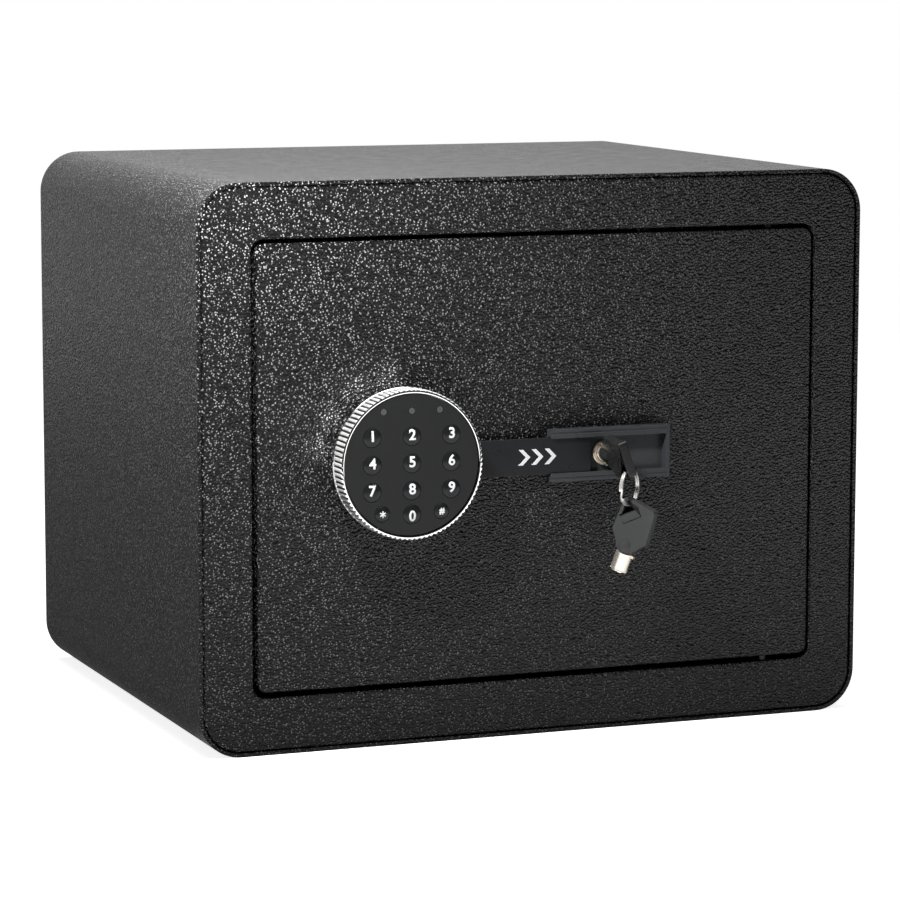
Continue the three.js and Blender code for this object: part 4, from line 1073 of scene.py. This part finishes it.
def add_lamp(name, location, target, size, watts, mirrored=True):
    data = bpy.data.lights.new(name, "AREA")
    data.shape = "RECTANGLE"
    data.size, data.size_y = size
    data.energy = watts
    lamp = new_object(name, data)
    lamp.matrix_world = look(location, Vector(target) - Vector(location))
    lamp.visible_glossy = mirrored


def add_ring_glow():
    """The light that the bright ring throws back on the door at its upper left."""
    for i, degrees in enumerate(GLOW_ANGLES):
        angle = math.radians(degrees)
        x = KNOB.x + GLOW_REACH * math.cos(angle)
        z = KNOB.z + GLOW_REACH * math.sin(angle)
        place, target = (x, FRONT - GLOW_OUT, z), (x, FRONT, z)
        add_lamp(f"ring_glow_{i + 1}", place, target, (GLOW_SIZE, GLOW_SIZE), GLOW_WATTS)


def seen_share(tree):
    """1 for what the camera sees, also through glass, and 0 for all other rays."""
    paths = tree.nodes.new("ShaderNodeLightPath")
    seen = tree.nodes.new("ShaderNodeMath")
    seen.operation = "MAXIMUM"
    tree.links.new(paths.outputs["Is Camera Ray"], seen.inputs[0])
    tree.links.new(paths.outputs["Is Transmission Ray"], seen.inputs[1])
    return seen.outputs[0], paths


def mixed(tree, share, first, second):
    node = tree.nodes.new("ShaderNodeMixShader")
    tree.links.new(share, node.inputs[0])
    tree.links.new(first.outputs[0], node.inputs[1])
    tree.links.new(second.outputs[0], node.inputs[2])
    return node


def ranged(tree, value, from_range, smooth=False):
    node = tree.nodes.new("ShaderNodeMapRange")
    if smooth:
        node.interpolation_type = "SMOOTHSTEP"
    tree.links.new(value, node.inputs["Value"])
    node.inputs["From Min"].default_value, node.inputs["From Max"].default_value = from_range
    return node


def separate(tree, output):
    place = tree.nodes.new("ShaderNodeTexCoord")
    parts = tree.nodes.new("ShaderNodeSeparateXYZ")
    tree.links.new(place.outputs[output], parts.inputs[0])
    return parts.outputs


def add_world():
    """White behind the object, a dim room in front of it for the gloss, and soft light."""
    world = bpy.data.worlds.new("studio")
    world.use_nodes = True
    tree = world.node_tree
    tree.nodes.clear()

    def background(strength):
        node = tree.nodes.new("ShaderNodeBackground")
        node.inputs["Color"].default_value = (1, 1, 1, 1)
        node.inputs["Strength"].default_value = strength
        return node

    parts = separate(tree, "Generated")
    behind = ranged(tree, parts["Y"], BEHIND_RANGE, smooth=True).outputs["Result"]
    above = ranged(tree, parts["Z"], ABOVE_RANGE, smooth=True).outputs["Result"]
    walls = mixed(tree, behind, background(ROOM_FRONT), background(ROOM_BACK))
    room = mixed(tree, above, walls, background(ROOM_ABOVE))
    share, paths = seen_share(tree)
    lit = mixed(tree, paths.outputs["Is Glossy Ray"], background(ROOM_SOFT), room)
    seen = mixed(tree, share, lit, background(ROOM_SEEN))
    output = tree.nodes.new("ShaderNodeOutputWorld")
    tree.links.new(seen.outputs[0], output.inputs[0])
    bpy.context.scene.world = world


def add_floor():
    """A white floor that glows for the camera and is brighter in front for the gloss."""
    mesh = bpy.data.meshes.new("floor")
    left, right, front, back = FLOOR
    corners = [(left, front, 0), (right, front, 0), (right, back, 0), (left, back, 0)]
    mesh.from_pydata(corners, [], [(0, 1, 2, 3)])
    floor = new_object("floor", mesh)
    material = new_material("pale_floor")
    tree = material.node_tree
    paper = tree.nodes.new("ShaderNodeBsdfDiffuse")
    paper.inputs["Color"].default_value = FLOOR_COLOUR
    glow = tree.nodes.new("ShaderNodeEmission")
    glow.inputs["Strength"].default_value = FLOOR_GLOW
    both = tree.nodes.new("ShaderNodeAddShader")
    tree.links.new(paper.outputs[0], both.inputs[0])
    tree.links.new(glow.outputs[0], both.inputs[1])
    level = ranged(tree, separate(tree, "Object")["Y"], FLOOR_RANGE)
    level.inputs["To Min"].default_value = FLOOR_IN_FRONT
    level.inputs["To Max"].default_value = FLOOR_BEHIND
    mirrored = tree.nodes.new("ShaderNodeEmission")
    tree.links.new(level.outputs["Result"], mirrored.inputs["Strength"])
    share, paths = seen_share(tree)
    unseen = mixed(tree, paths.outputs["Is Glossy Ray"], paper, mirrored)
    seen = mixed(tree, share, unseen, both)
    output = tree.nodes.new("ShaderNodeOutputMaterial")
    tree.links.new(seen.outputs[0], output.inputs[0])
    mesh.materials.append(material)


add_camera()
add_world()
add_floor()
add_lamp("speck_lamp", *SPECK_LAMP)
add_lamp("top_lamp", *TOP_LAMP)
add_ring_glow()
bpy.context.scene.view_settings.view_transform = "Standard"
